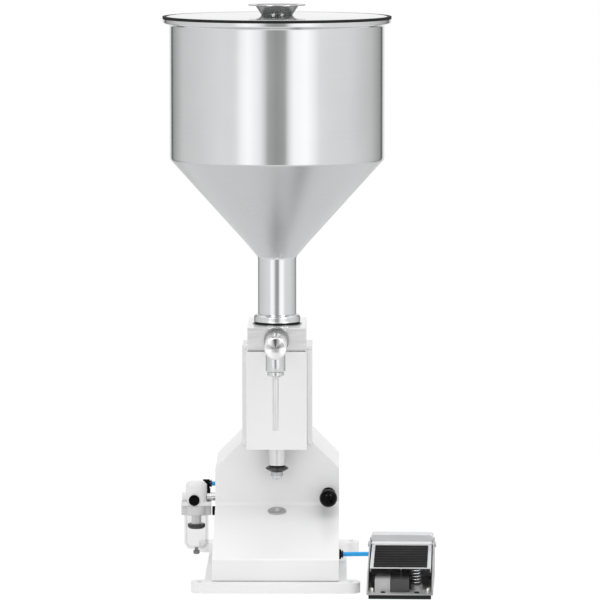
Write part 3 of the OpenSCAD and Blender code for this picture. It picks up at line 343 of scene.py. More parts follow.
def meshObject(name, points, faces, bands=None):
    # Points that coincide become one, and every face looks outward
    mesh = bpy.data.meshes.new(name)
    mesh.from_pydata((np.asarray(points, float) * mm).tolist(), [], faces)
    if bands is not None:
        mesh.polygons.foreach_set("material_index", bands)
    work = bmesh.new()
    work.from_mesh(mesh)
    bmesh.ops.remove_doubles(work, verts=work.verts, dist=0.0000005)
    bmesh.ops.recalc_face_normals(work, faces=work.faces)
    work.to_mesh(mesh)
    work.free()
    piece = bpy.data.objects.new(name, mesh)
    bpy.context.scene.collection.objects.link(piece)
    return piece


def grid(rows, columns, wrapRows=False):
    # Four-sided faces between neighbouring points of a table of rows and columns
    faces = []
    for i in range(rows if wrapRows else rows - 1):
        here, above = i * columns, (i + 1) % rows * columns
        for j in range(columns):
            k = (j + 1) % columns
            faces.append([here + j, here + k, above + k, above + j])
    return faces


def rounded(points, radius, steps, closed=False):
    # Each corner becomes a parabola arc: (1-t)^2 A + 2t(1-t) P + t^2 B
    points = [np.array(p, float) for p in points]
    count = len(points)
    line = []
    for i, corner in enumerate(points):
        if not closed and i in (0, count - 1):
            line.append(corner)
            continue
        before, after = points[i - 1] - corner, points[(i + 1) % count] - corner
        one, two = np.linalg.norm(before), np.linalg.norm(after)
        half = math.acos(max(-1, min(1, float(before @ after) / (one * two)))) / 2
        reach = min(radius / max(math.tan(half), 1e-6), one * 0.48, two * 0.48)
        for t in np.linspace(0, 1, steps + 1):
            line.append(corner + before / one * reach * (1 - t) ** 2 + after / two * reach * t ** 2)
    return line


def turned(profile, sides=96, axis="z", centre=(0, 0, 0)):
    # A profile (r, h) turned about the axis: r cos a, r sin a, h
    profile = np.array([list(p) for p in profile], float)
    angles = np.linspace(0, 2 * math.pi, sides, endpoint=False)
    r = profile[:, :1]
    u, v = r * np.cos(angles), r * np.sin(angles)
    h = np.repeat(profile[:, 1:], sides, axis=1)
    order = {"z": (u, v, h), "y": (v, h, u), "x": (h, u, v)}[axis]
    return np.stack(order, axis=-1).reshape(-1, 3) + np.array(centre, float)


def lathe(name, profile, skin, replaced=(), body="root", sides=96, axis="z",
          centre=(0, 0, 0), closed=True, bands=None):
    # A turned piece; bands give each step of its profile one of several finishes
    rows = len(profile)
    points = turned(profile, sides, axis, centre)
    faces = grid(rows, sides, wrapRows=closed)
    marks = None if bands is None else np.repeat(bands, sides).tolist()
    piece = meshObject(name, points, faces, marks)
    return finish(piece, skin, body, replaced)


# Edges over 28 degrees are rounded; flat faces of more than 4 square centimetres keep their own
# normal; a bend has 12 strips and takes in the edges within 4 mm of it
sharpAngle = math.radians(28)
wideFace = 0.0004
foldStrips = 12
foldReach = 4 * mm


def alongFold(edge, y, z):
    # True for an edge along x that lies near the fold at (y, z)
    a, b = (v.co for v in edge.verts)
    middle, run = (a + b) / 2, (b - a).normalized()
    near = abs(middle.y - y * mm) < foldReach and abs(middle.z - z * mm) < foldReach
    return near and abs(run.x) > 0.99 and len(edge.link_faces) == 2


def softened(name, node, width, skin, segments=3, body="root", folds=(), lift=None):
    # The CAD node's own faces with every edge rounded; folds are (y, z, radius) of bent sheet,
    # and lift is (height, rise): what lies below that height moves up
    work = bmesh.new()
    work.from_mesh(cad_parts[node].data)
    bmesh.ops.remove_doubles(work, verts=work.verts, dist=0.000002)
    bmesh.ops.dissolve_limit(work, angle_limit=math.radians(0.6), verts=work.verts,
                             edges=work.edges)
    for y, z, radius in folds:
        bent = [e for e in work.edges if alongFold(e, y, z) and e.calc_face_angle(0) > 0.3]
        bmesh.ops.bevel(work, geom=bent, offset=radius * mm, segments=foldStrips, profile=0.5,
                        affect="EDGES", clamp_overlap=True)
    if lift:
        low = [v for v in work.verts if v.co.z < lift[0] * mm]
        bmesh.ops.translate(work, verts=low, vec=(0, 0, lift[1] * mm))
    sharp = [e for e in work.edges
             if len(e.link_faces) == 2 and e.calc_face_angle(0) > sharpAngle]
    bmesh.ops.bevel(work, geom=sharp, offset=width * mm, segments=segments, profile=0.5,
                    affect="EDGES", clamp_overlap=True)
    mesh = bpy.data.meshes.new(name)
    work.to_mesh(mesh)
    work.free()
    piece = bpy.data.objects.new(name, mesh)
    bpy.context.scene.collection.objects.link(piece)
    finish(piece, skin, body, (node,), 40)
    areas = np.zeros(len(mesh.polygons))
    mesh.polygons.foreach_get("area", areas)
    mesh.polygons.foreach_set("use_smooth", areas < wideFace)
    weighted = piece.modifiers.new("face weighted normals", "WEIGHTED_NORMAL")
    weighted.keep_sharp = True
    return piece


def joinShells(name, shells, skin, replaced, smooth=35):
    # Several closed shells in one mesh; each shell is (points, faces)
    points, faces = [], []
    for more, its in shells:
        start = len(points)
        points.extend(np.asarray(more).tolist())
        faces.extend([[start + i for i in f] for f in its])
    return finish(meshObject(name, points, faces), skin, "root", replaced, smooth)


def shell(profile, sides, axis, centre, closed=True):
    # The points and faces of a turned profile
    return turned(profile, sides, axis, centre), grid(len(profile), sides, wrapRows=closed)


def smoothLine(points, per):
    # Catmull-Rom curve through the points, with a few steps per span
    p = np.array(points, float)
    p = np.vstack([2 * p[0] - p[1], p, 2 * p[-1] - p[-2]])
    line = []
    for i in range(1, len(p) - 2):
        for t in np.linspace(0, 1, per, endpoint=False):
            line.append(0.5 * (2 * p[i] + (p[i + 1] - p[i - 1]) * t
                        + (2 * p[i - 1] - 5 * p[i] + 4 * p[i + 1] - p[i + 2]) * t ** 2
                        + (3 * p[i] - p[i - 1] - 3 * p[i + 1] + p[i + 2]) * t ** 3))
    line.append(p[-2])
    return np.array(line)


def tube(line, radius, sides):
    # A circle carried along the line without twist, closed at its ends: p + r (u cos a + v sin a)
    line = np.asarray(line, float)
    tangents = np.gradient(line, axis=0)
    tangents /= np.linalg.norm(tangents, axis=1)[:, None]
    side = np.cross(tangents[0], [0, 0, 1] if abs(tangents[0][2]) < 0.8 else [0, 1, 0])
    angles = np.linspace(0, 2 * math.pi, sides, endpoint=False)
    rings = []
    for at, along in zip(line, tangents):
        side = side - along * (side @ along)
        side /= np.linalg.norm(side)
        other = np.cross(along, side)
        around = np.outer(np.cos(angles), side) + np.outer(np.sin(angles), other)
        rings.append(at + radius * around)
    points = np.vstack(rings + [line[:1], line[-1:]])
    faces = grid(len(line), sides)
    last = (len(line) - 1) * sides
    for k in range(sides):
        faces.append([len(points) - 2, (k + 1) % sides, k])
        faces.append([len(points) - 1, last + k, last + (k + 1) % sides])
    return points, faces


# Pedal hose: a free cord that goes from the wall fitting to the pedal's fitting

hoseRadius = 3.175
hoseRoute = [
    (0.081, -0.010, 0.025), (0.086, -0.010, 0.025), (0.092, -0.010, 0.025),
    (0.098, -0.010, 0.025), (0.105, -0.010, 0.0251), (0.1108, -0.0104, 0.0253),
    (0.1165, -0.0117, 0.0255), (0.122, -0.0138, 0.0259), (0.1271, -0.0166, 0.0262),
    (0.1317, -0.0202, 0.0266), (0.1357, -0.0244, 0.027), (0.1391, -0.0291, 0.0273),
    (0.1418, -0.0343, 0.0276), (0.1437, -0.0398, 0.0278), (0.1448, -0.0456, 0.028),
    (0.145, -0.0514, 0.028), (0.1448, -0.057, 0.028), (0.1446, -0.062, 0.028),
    (0.1444, -0.067, 0.028)]


def makePedalHose():
    # The curve through the route, in millimetres, with a round section
    line = smoothLine(np.array(hoseRoute) / mm, 4)
    points, faces = tube(line, hoseRadius, 24)
    piece = finish(meshObject("pedal_air_hose", points, faces), "hose", "root",
                   ("pedal_hose",))


makePedalHose()
print("cord made")

# Hopper, neck and lid, all about the z axis

hopper = {"radius": 150.0, "outlet": 27.0, "sheet": 1.5, "cone": 445.0, "barrel": 582.0,
          "shelf": 770.0, "rim": 159.5, "top": 776.4, "low": 364.3, "footOut": 15, "footUp": 17,
          "headIn": 3.2, "headDown": 3.6, "straight": 5, "flare": 7, "foldRadius": 9.0,
          "lipRadius": 3.2, "bead": {"at": 451.0, "height": 0.25, "width": 3}}


def weldBead(line, at, height, width):
    # A raised half-round bead round the wall at a height: h cos(pi d / w)
    out = []
    for r, z in line:
        d = abs(z - at)
        out.append((r + (height * math.cos(math.pi * d / width) if d < width / 2 else 0), z))
    return out


def fineLine(points, step):
    # Each straight run is divided into equal parts, none shorter than the step
    line = []
    for a, b in zip(points[:-1], points[1:]):
        a, b = np.array(a, float), np.array(b, float)
        count = max(1, int(np.linalg.norm(b - a) / step))
        line += [tuple(a + (b - a) * k / count) for k in range(count)]
    return line + [tuple(points[-1])]


def makeHopper(s):
    # The outline (r, z) goes up the outlet, cone, barrel and shelf, over the lip and down inside
    t, radius, outlet, rim = s["sheet"], s["radius"], s["outlet"], s["rim"]
    low, cone, barrel, shelf, top = s["low"], s["cone"], s["barrel"], s["shelf"], s["top"]
    coneFoot = (outlet + s["footOut"], cone + s["footUp"])
    coneHead = (radius - s["headIn"], barrel - s["headDown"])
    wallFoot, wallTop = (radius, barrel + s["straight"]), (radius, shelf - s["flare"])
    outletWall = fineLine(rounded([(outlet, low), (outlet, cone - 1), coneFoot],
                                  s["foldRadius"], 6)[:-1], 8)
    coneWall = fineLine([coneFoot, coneHead], 8)
    bend = rounded([coneHead, (radius, barrel), wallFoot], s["foldRadius"], 6)
    wall = fineLine([wallFoot, wallTop], 10)
    flare = rounded([wallTop, (radius, shelf - t), (rim - t, shelf + 0.2), (rim, shelf + t),
                     (rim, top)], s["lipRadius"], 5)
    lip = [(rim - 0.2, top), (rim - t / 2, top + 0.3), (rim - t + 0.2, top), (rim - t, shelf + t)]
    inside = [(radius - t, shelf + t - 0.5), (radius - t, barrel + 0.5), (outlet - t, cone),
              (outlet - t, low)]
    line = outletWall + coneWall + bend[1:] + wall[1:] + flare[1:]
    profile = weldBead(line, **s["bead"]) + lip + inside
    # The cone's dull grain starts in the fold over the outlet tube and ends in the upper bend
    start = sum(z < cone - 2 for r, z in outletWall)
    end = len(outletWall) + len(coneWall) + 3
    bands = [0] * start + [1] * (end - start) + [0] * (len(profile) - end)
    lathe("hopper", profile, ["barrel", "cone"], ["hopper_shell"], sides=256,
          bands=bands)


neck = {"seat": 350.0, "gasket": 351.0, "ferrule": 352.4, "top": 364.2, "radius": 32.75,
        "bore": 25.6, "seatBore": 11, "seatRadius": 34.5, "gasketRadius": 32.2}


def makeNeck(s):
    # Three rings turned on z: the hopper's ferrule, its gasket and the seat under it
    r, low, top, bore = s["radius"], s["ferrule"], s["top"], s["bore"]
    ferrule = rounded([(bore, low), (r - 1.3, low), (r, low + 1.2), (r, top - 3.6),
                       (r - 2.4, top - 0.9), (r - 4.4, top - 0.9), (r - 5.4, top), (bore, top)],
                      1.6, 4, True)
    lathe("ferrule", ferrule, "turned", ["hopper_ferrule"], sides=160)
    under, edge = s["gasket"], s["gasketRadius"]
    gasket = rounded([(bore, under), (edge - 0.6, under), (edge, (under + low) / 2),
                      (edge - 0.6, low), (bore, low)], 0.4, 3, True)
    lathe("gasket", gasket, "rubber", ["ferrule_gasket"], sides=128)
    foot, hole, out = s["seat"], s["seatBore"], s["seatRadius"]
    seat = rounded([(hole, foot), (out, foot), (out, under), (hole, under)], 0.35, 3, True)
    # The seat is painted dark steel: a painted shadow line under the ferrule
    lathe("seat", seat, "blackened", ["ferrule_seat"], sides=128)


lid = {"edge": 154.2, "flat": 95.0, "rise": 8.5, "sheet": 1.2, "bottom": 771.8, "band": 8.4,
       "knob": 40.0, "knobHeight": 15.0, "sealIn": 154.35, "sealOut": 157.6, "flangeOut": 159.5,
       "flange": 3.3}


def makeLid(s):
    # The sheet bulges by a quarter sine between its edge and its flat middle
    edge, flat, z, band, t = s["edge"], s["flat"], s["bottom"], s["band"], s["sheet"]
    roof = z + s["rise"]
    share = np.linspace(0, 1, 18)
    bulge = (s["rise"] + t - band) * np.sin(math.pi / 2 * share)
    curve = list(zip(edge - (edge - flat) * share, z + band + bulge))
    high = curve[-1][1]
    top = [(edge, z), (edge, z + band - t / 2)] + curve[1:] + [(flat - 30, high + 0.05),
                                                              (0.01, high + 0.1)]
    under = [(0.01, roof - 0.1), (flat, roof - 0.1), (edge - t, z + band - 1.3), (edge - t, z)]
    lathe("lid_sheet", top + under, "barrel", ["lid"], body="lid", sides=256)
    over, shelf = z + band, z + band - s["flange"]
    seal = rounded([(s["sealIn"], z), (s["sealOut"], z), (s["sealOut"], shelf),
                    (s["flangeOut"], shelf), (s["flangeOut"], over), (s["sealIn"], over)],
                   0.4, 3, True)
    lathe("lid_gasket", seal, "rubber", ["lid_seal"], body="lid", sides=192)
    foot, out, head = roof + t, s["knob"], roof + t + s["knobHeight"]
    dish = rounded([(0.01, foot), (21.5, foot), (30.4, head - 1.6), (out, head - 1.3), (out, head),
                    (29.2, head - 0.2), (20, foot + 1.5), (0.01, foot + 1.5)], 1.4, 4)
    lathe("lid_handle", dish, "handle", ["lid_knob"], body="lid", sides=160)


makeHopper(hopper)
makeNeck(neck)
makeLid(lid)
print("hopper made")

# Valve block, spout and nozzle

collar = {"radius": 17.5, "back": -75.0, "front": -63.0, "bore": 8.0, "teeth": 44, "depth": 0.7,
          "rows": 48}


def makeCollar(s, height):
    # Diamond knurl: the radius dips where either family of helix lines passes,
    # r = R - depth * fade * (1 - 1.8 min(|sin|, |sin|)), and fades out over three rows at each end
    radius, y0, y1, teeth, rows, bore = (s[k] for k in ("radius", "back", "front", "teeth", "rows",
                                                        "bore"))
    sides = teeth * 6
    ends = [(bore, y1), (radius - 1.6, y1), (radius - 0.9, y1 - 0.15), (radius - 0.25, y1 - 0.9)]
    front = [(radius - 0.25, y0 + 0.9), (radius - 0.9, y0 + 0.15), (radius - 1.6, y0), (bore, y0)]
    heights = np.linspace(y1 - 1.5, y0 + 1.5, rows)
    profile = ends + [(radius, h) for h in heights] + front
    points = turned(profile, sides, "y", (0, 0, height)).reshape(len(profile), sides, 3)
    angles = np.linspace(0, 2 * math.pi, sides, endpoint=False)
    turn = (heights * teeth / radius)[:, None]
    one = np.abs(np.sin((teeth * angles + turn) / 2))
    two = np.abs(np.sin((teeth * angles - turn) / 2))
    row = np.arange(rows)
    fade = np.minimum(1.0, np.minimum((row + 1) / 3, (rows - row) / 3))[:, None]
    r = radius - s["depth"] * fade * (1 - np.minimum(np.minimum(one, two) * 1.8, 1.0))
    points[len(ends):len(ends) + rows, :, 0] = r * np.sin(angles)
    points[len(ends):len(ends) + rows, :, 2] = height + r * np.cos(angles)
    piece = meshObject("knurled_collar", points.reshape(-1, 3),
                       grid(len(profile), sides, wrapRows=True))
    finish(piece, "knurl", "root", ["spout_collar"], 30)


spout = {"height": 334.0, "back": -75.0, "face": -180.0, "leg": -165.0, "radius": 15.25,
         "legRadius": 13.5, "legLow": 302.0, "bore": 8.0, "nutRadius": 11.2, "nutLow": 295.2,
         "pipe": 4.0, "pipeBore": 3.0, "pipeLow": 220.0}


def makeSpout(s):
    # The arm is turned on y; the leg, the nut and the nozzle are turned on z
    face, back, z, r, bore = s["face"], s["back"], s["height"], s["radius"], s["bore"]
    low, leg, out, end = s["legLow"], s["legRadius"], s["nutRadius"], s["nutLow"]
    axis = (0, s["leg"], 0)
    shoulder = (r - 1.9, face)
    side = rounded([shoulder, (r, face + 1.0), (r, back), (bore, back), (bore, s["leg"] - 6),
                    (0.01, s["leg"] - 6)], 0.5, 3)
    arm = [(0.01, face), shoulder] + side[1:]
    lathe("spout_arm", arm, ["bright", "faced"], ["spout_body"], sides=128,
          axis="y", centre=(0, 0, z), bands=[1] + [0] * (len(arm) - 1))
    pipe, hole, neckLow = s["pipe"], s["pipeBore"], end - 0.4
    outlines = {
        "leg": rounded([(bore, low), (leg, low), (leg, z + 4), (bore, z + 4)], 0.6, 3, True),
        "nut": rounded([(3.6, end), (out - 1, end), (out, end + 1.2), (out, low - 1.2),
                        (out - 1, low), (3.6, low)], 0.5, 3, True),
        "pipe": rounded([(hole, s["pipeLow"]), (pipe, s["pipeLow"]), (pipe, neckLow),
                         (3.5, neckLow), (3.5, low), (hole, low)], 0.25, 2, True)}
    lathe("spout_leg", outlines["leg"], "turned", sides=128, centre=axis)
    lathe("nozzle_ring", outlines["nut"], "turned", ["nozzle_nut"], sides=96,
          centre=axis)
    lathe("nozzle_pipe", outlines["pipe"], "satin", ["nozzle_tube"], sides=64,
          centre=axis)


softened("block", "valve_block", 0.7, "block")
makeCollar(collar, spout["height"])
makeSpout(spout)

# Column, housing and base

softened("column_rear", "column_channel", 0.7, "paint")
softened("column_front", "column_cover", 1.3, "paint", segments=4)
softened("housing", "body_shell", 0.9, "paint", segments=4,
         folds=[(-3, 94, 5.0), (-183, 45, 2.5)], lift=(14.4, 0.9))
softened("housing_rear", "body_back", 0.4, "paint")
softened("base", "base_plate", 1.8, "basePaint", segments=5)


screwHead = {"sides": 48, "rings": 16, "slot": 0.16, "reach": 0.55, "sink": 0.5}


def crossHead(radius, height, sides, rings, slot, reach, sink):
    # A domed head on a unit disc: z = h (0.75 + 0.25 (1 - r^2)), lowered near its edge, less a
    # cross recess
    r = np.linspace(0.0, 1.0, rings)
    angles = np.linspace(0, 2 * math.pi, sides, endpoint=False)
    x, y = np.outer(r, np.cos(angles)), np.outer(r, np.sin(angles))
    dome = height * (0.75 + 0.25 * (1 - (x ** 2 + y ** 2)))
    edge = np.clip((1 - np.sqrt(x ** 2 + y ** 2)) * 5, 0, 1)
    cross = ((np.abs(x) < slot) & (np.abs(y) < reach)) | ((np.abs(y) < slot) & (np.abs(x) < reach))
    z = dome * (0.55 + 0.45 * edge) - cross * sink * height
    points = np.stack([x * radius, y * radius, z], -1).reshape(-1, 3)
    rim = [[radius * math.cos(a), radius * math.sin(a), 0] for a in angles]
    points = np.vstack([points, rim])
    return points, grid(rings + 1, sides) + [list(range(rings * sides, (rings + 1) * sides))[::-1]]


def screwsAt(name, places, radius, height, skin, replaced):
    # Each place is a point and the direction its screw faces
    shells = []
    for point, outward in places:
        points, faces = crossHead(radius, height, **screwHead)
        turn = Vector((0, 0, 1)).rotation_difference(Vector(outward))
        moved = points @ np.array(turn.to_matrix()).T + np.array(point, float)
        shells.append((moved, faces))
    joinShells(name, shells, skin, replaced, smooth=30)


rearScrews = [((x, 166.5, z), (0, 1, 0)) for x in (-81, 81) for z in (24, 136)]
frontScrews = [((x, -5.5, 182), (0, -1, 0)) for x in (-45, 45)]
screwsAt("small_screws", rearScrews + frontScrews, 2.2, 1.6, "block",
         ["panel_screws"])


adjuster = {"y": -27.0, "bore": 6.9, "nutLow": 144.8, "nutTop": 153.8, "nutRadius": 16.0,
            "flat": 10.0, "ringLow": 138.8, "ringTop": 144.6, "ringRadius": 8.5}


def makeAdjuster(s):
    # A lens-shaped nut and the grey collar under it, both turned on z
    bore, low, top, r, flat = s["bore"], s["nutLow"], s["nutTop"], s["nutRadius"], s["flat"]
    centre = (0, s["y"], 0)
    lens = rounded([(bore, low), (flat, low), (r - 0.1, top - 5.2), (r, top - 4.4),
                    (r - 0.1, top - 3.6), (flat, top), (bore, top)], 0.6, 3, True)
    # The nut is painted dark steel: a painted dark reflection
    lathe("adjusting_nut", lens, "blackened", ["adjuster_nut"], body="adjuster",
          sides=128, centre=centre)
    low, top, r = s["ringLow"], s["ringTop"], s["ringRadius"]
    band = rounded([(bore, low), (r - 0.3, low), (r, low + 0.4), (r, top - 0.4), (r - 0.3, top),
                    (bore, top)], 0.25, 2, True)
    lathe("stop_ring", band, "dull", ["stop_collar"], body="stop_collar",
          sides=96, centre=centre)


stop = {"slope": 49.0 / 180.0, "forward": 22, "y": -25, "height": 94, "flange": 13.0, "head": 6.0,
        "shank": 3.7, "deep": -8}


def makeStopScrew(s):
    # Turned on z, then turned about x by the ramp's slope: y cos a - z sin a, y sin a + z cos a
    head, flange, shank, deep = s["head"], s["flange"], s["shank"], s["deep"]
    line = rounded([(0.01, 5.3), (2.0, 5.2), (3.0, 4.0), (head - 0.6, 4.0), (head, 3.4),
                    (head, 1.6), (flange - 0.6, 1.5), (flange, 0.9), (flange, 0.0), (shank, 0.0),
                    (shank, deep), (0.01, deep)], 0.3, 2)
    x, y, z = turned(line, 96).T
    angle = math.atan(s["slope"])
    sine, cosine = math.sin(angle), math.cos(angle)
    onRamp = [0, s["y"], s["height"] - s["forward"] * s["slope"]]
    points = np.stack([x, y * cosine - z * sine, y * sine + z * cosine], -1) + onRamp
    piece = meshObject("ramp_stop", points, grid(len(line), 96))
    finish(piece, "casting", "root", ["stop_screw"])


makeAdjuster(adjuster)
makeStopScrew(stop)
print("block, spout, column and housing made")

# Hand valve

handValve = {"x": 72.0, "z": 109.0, "panel": -3.0, "bore": 8.05, "ring": 10.1, "ball": 12.5,
             "ballY": -43.0, "stem": 7.0, "rod": 4.0, "inner": 17.0}


def makeHandValve(s):
    # The ring and the ball with its stem are turned on y
    panel, bore, out = s["panel"], s["bore"], s["ring"]
    centre = (s["x"], 0, s["z"])
    ring = rounded([(bore, panel - 6), (out - 0.7, panel - 6), (out, panel - 5.2), (out, panel),
                    (bore, panel)], 0.4, 3, True)
    lathe("valve_ring", ring, "gloss", ["hand_valve_nut"], sides=64, axis="y",
          centre=centre)
    ballY, r, stem, rod, inner = s["ballY"], s["ball"], s["stem"], s["rod"], s["inner"]
    arc = [(r * math.sin(a), ballY - r * math.cos(a)) for a in np.linspace(0.001, 2.45, 40)]
    neckLine = rounded([arc[-1], (stem, ballY + 10.5), (stem, -28.6), (rod, -28.4), (rod, inner),
                        (0.01, inner)], 0.6, 3)
    lathe("ball_knob", arc + neckLine[1:], "gloss", ["hand_valve_knob"],
          body="hand_knob", sides=96, axis="y", centre=centre, closed=False)
    softened("valve_bush", "hand_valve_body", 0.4, "moulding")


makeHandValve(handValve)

# Air filter

filterAt = (-114.5, 25.0, -3.5)
plugAt = (-117.1, 0.0, 98.3)
bowl = {"top": 79.6, "radius": 17.0, "inner": 15.0, "bend": 38.0, "foot": 31.0, "hole": 2.6}
baffle = {"low": 60, "top": 67, "radius": 12.4}
drain = {"low": 23.4, "neck": 28.7, "top": 33.0, "radius": 4.6, "stem": 2.5}


def makeFilter():
    # The bowl, the baffle and the drain are turned on z about the filter's axis, the plug on y
    softened("filter_top", "filter_head", 1.0, "filterWhite", segments=4)
    softened("filter_collar", "filter_ring", 0.8, "filterGrey", segments=3)
    top, out, inner, hole = bowl["top"], bowl["radius"], bowl["inner"], bowl["hole"]
    bend, foot = bowl["bend"], bowl["foot"]
    outside = rounded([(inner, top), (out, top), (out, bend), (out - 5, foot + 0.4), (5.0, foot),
                       (hole, foot)], 2.6, 5)
    inside = rounded([(hole, foot + 2), (5.0, foot + 2), (inner - 3.8, foot + 2.5),
                      (inner, bend + 0.8), (inner, top)], 2.0, 5)
    lathe("bowl", outside + inside[:-1], "bowl", ["filter_bowl"], sides=96,
          centre=filterAt)
    low, top, r = baffle["low"], baffle["top"], baffle["radius"]
    disc = rounded([(0.01, low), (r - 2.4, low), (r, low + 2.2), (r, top - 0.8), (r - 0.8, top),
                    (r - 5, top), (0.01, top)], 0.7, 3)
    lathe("baffle_disc", disc, "gloss", ["filter_baffle"], sides=96,
          centre=filterAt)
    plug = rounded([(0.01, 7.0), (6.9, 7.0), (7.7, 7.8), (7.7, 10.0), (0.01, 10.0)], 0.5, 3)
    rim = rounded([(2.4, 6.9), (3.2, 6.7), (3.6, 7.2), (2.4, 7.2)], 0.15, 2, True)
    joinShells("filter_cap", [shell(plug, 64, "y", plugAt, False), shell(rim, 48, "y", plugAt)],
               "gloss", ["filter_plug"])
    low, neckLow, top, r, stem = (drain[k] for k in ("low", "neck", "top", "radius", "stem"))
    button = rounded([(0.01, low), (r - 1, low), (r, low + 1.6), (r, neckLow), (stem, neckLow),
                      (stem, top), (0.01, top)], 0.4, 3)
    lathe("drain_button", button, "drain", ["drain_valve"], body="drain",
          sides=64, centre=filterAt, closed=False)
    softened("wall_joint", "wall_nipple", 0.4, "nickel")
    for name, node in (("vent", "silencer"), ("elbow", "elbow_fitting"),
                       ("side_fitting", "wall_fitting")):
        softened(name, node, 0.5, "gloss")


def releaseRing(name, mouth, y, z, body, node):
    # Turned on x: a sleeve in the fitting's mouth with a flange outside it
    bore, sleeve, flange, back, front = 3.3, 4.5, 5.6, mouth - 2.7, mouth + 2.8
    profile = rounded([(bore, back), (sleeve, back), (sleeve, front - 1.5),
                       (flange - 0.3, front - 1.5), (flange, front - 1.0), (flange, front - 0.4),
                       (flange - 0.4, front), (bore, front)], 0.25, 2, True)
    lathe(name, profile, "navy", [node], body=body, sides=64, axis="x",
          centre=(0, y, z))


makeFilter()
releaseRing("release_left", -96.0, 43.5, 117.5, "ring_left", "release_ring_left")
releaseRing("release_right", 90.0, -10.0, 25.0, "ring_right", "release_ring_right")

innerHoses = {
    "supply": [(-101.5, 43.5, 117.5), (-92, 43.5, 117.5), (-80, 43.5, 117.5), (-70, 44.5, 115.5),
               (-64, 48, 110), (-62, 54, 100), (-62, 63, 86), (-63, 70, 70), (-64, 74, 54),
               (-63, 75, 42), (-60, 75, 34), (-56.5, 75, 29.8), (-53.5, 75, 29), (-50, 75, 29)],
    "upper": [(-14, 2, 251), (-14, 10, 251), (-14, 17, 249), (-14, 23, 243), (-14, 26, 234),
              (-14, 27, 218), (-14, 28, 200), (-14, 29, 180), (-14, 30, 150), (-15, 34, 120),
              (-18, 42, 90), (-20, 50, 68), (-20, 52, 56), (-20, 52, 44)],
    "lower": [(14, 2, 186.5), (14, 9, 186.5), (14, 15, 184.4), (14, 20, 177.5), (14, 23, 166),
              (13, 27, 146), (8, 38, 116), (-6, 56, 84), (-18, 72, 66), (-22, 76, 56),
              (-22, 76, 44)],
    "signal": [(72, 38.5, 109), (72, 46, 109), (71, 54, 106), (68, 62, 98), (62, 70, 84),
               (52, 76, 64), (40, 80, 46), (26, 82, 34), (12, 82, 29), (0, 82, 28), (-10, 82, 28)],
    "foot": [(77.5, -10, 25), (70, -10, 25), (60, -7, 25), (50, 2, 25), (42, 14, 25),
             (34, 28, 25), (25, 42, 25.5), (14, 53, 26), (4, 59, 26), (-4, 60, 26), (-10, 60, 26)]}
joinShells("air_tubes", [tube(smoothLine(line, 5), hoseRadius, 20) for line in innerHoses.values()],
           "hose", ["air_hoses"])
print("filter, valves and hoses made")

# Foot pedal: its own pieces are made straight, then turned and set in place

pedal = {"x": 172.3, "y": -157.5, "turn": -2.0, "hingeY": 54.5, "hingeZ": 53.5, "slope": 8.0}


def toPedal(points):
    # x cos a - y sin a, x sin a + y cos a, then moved to the pedal's place
    a = math.radians(pedal["turn"])
    p = np.asarray(points, float)
    x = pedal["x"] + p[:, 0] * math.cos(a) - p[:, 1] * math.sin(a)
    y = pedal["y"] + p[:, 0] * math.sin(a) + p[:, 1] * math.cos(a)
    return np.stack([x, y, p[:, 2]], -1)


def onTread(points):
    # From the treadle's own frame, its top at z = 0 and its hinge at the origin
    a = math.radians(pedal["slope"])
    p = np.asarray(points, float)
    y = pedal["hingeY"] + p[:, 1] * math.cos(a) - p[:, 2] * math.sin(a)
    z = pedal["hingeZ"] + p[:, 1] * math.sin(a) + p[:, 2] * math.cos(a)
    return toPedal(np.stack([p[:, 0], y, z], -1))


mat = {"front": -109.4, "length": 104.0, "pitches": 9, "ribShare": 0.45, "back": 4.2,
       "sheet": 1.6, "rib": 2.5, "sides": [(36.5, 0.5), (36.3, 0.15), (35.9, 0.0)]}


def makeMat(s):
    # A ribbed mat: its section along the treadle is carried across, lower at its two sides.
    # Each of eight groups holds three ribs, at front + pitch (i + 1 - share / 2)
    front, sheet, rib = s["front"], s["sheet"], s["rib"]
    pitch = s["length"] / s["pitches"]
    wide = pitch * s["ribShare"]
    section = [(front, 0.0), (front, sheet - 0.2), (front + 0.3, sheet)]
    for i in range(s["pitches"] - 1):
        start = front + pitch * (i + 1 - s["ribShare"] / 2)
        for k in range(3):
            left, right = start + wide * k / 3, start + wide * k / 3 + wide / 3
            section += [(left + 0.1, sheet), (left + 0.25, rib - 0.2), (left + 0.5, rib),
                        (right - 0.5, rib), (right - 0.25, rib - 0.2), (right - 0.1, sheet)]
    end = front + s["length"] - s["back"]
    section += [(end - 0.3, sheet), (end, sheet - 0.2), (end, 0.0)]
    across = [(-x, drop) for x, drop in s["sides"]] + s["sides"][::-1]
    points = [(x, y, max(0.0, z - drop) if z > 0 else 0.0) for x, drop in across
              for y, z in section]
    count = len(section)
    faces = grid(len(across), count)
    faces += [list(range(count)), list(range(len(points) - count, len(points)))[::-1]]
    finish(meshObject("ribbed_mat", onTread(points), faces), "rubber", "treadle",
           ["pedal_mat"])


spring = {"x": 22, "y": -49.5, "radius": 6.5, "wire": 0.8, "curls": 5, "steps": 28, "keep": 0.54}


def makeSpring(s):
    # An even helix: x = r cos a, y = r sin a, z rising with a
    curls, radius, wire = s["curls"], s["radius"], s["wire"]
    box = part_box("pedal_spring")
    low, high = box[0].z / mm + wire, box[1].z / mm - wire
    a = np.linspace(0, curls * 2 * math.pi, curls * s["steps"] + 1)
    z = low + (high - low) * a / a[-1]
    line = np.stack([s["x"] + radius * np.cos(a), s["y"] + radius * np.sin(a), z], -1)
    points, faces = tube(line, wire, 12)
    piece = meshObject("coil_spring", toPedal(points), faces)
    finish(piece, "dull", "root", ["pedal_spring"])
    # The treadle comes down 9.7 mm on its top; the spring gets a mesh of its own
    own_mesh(piece)


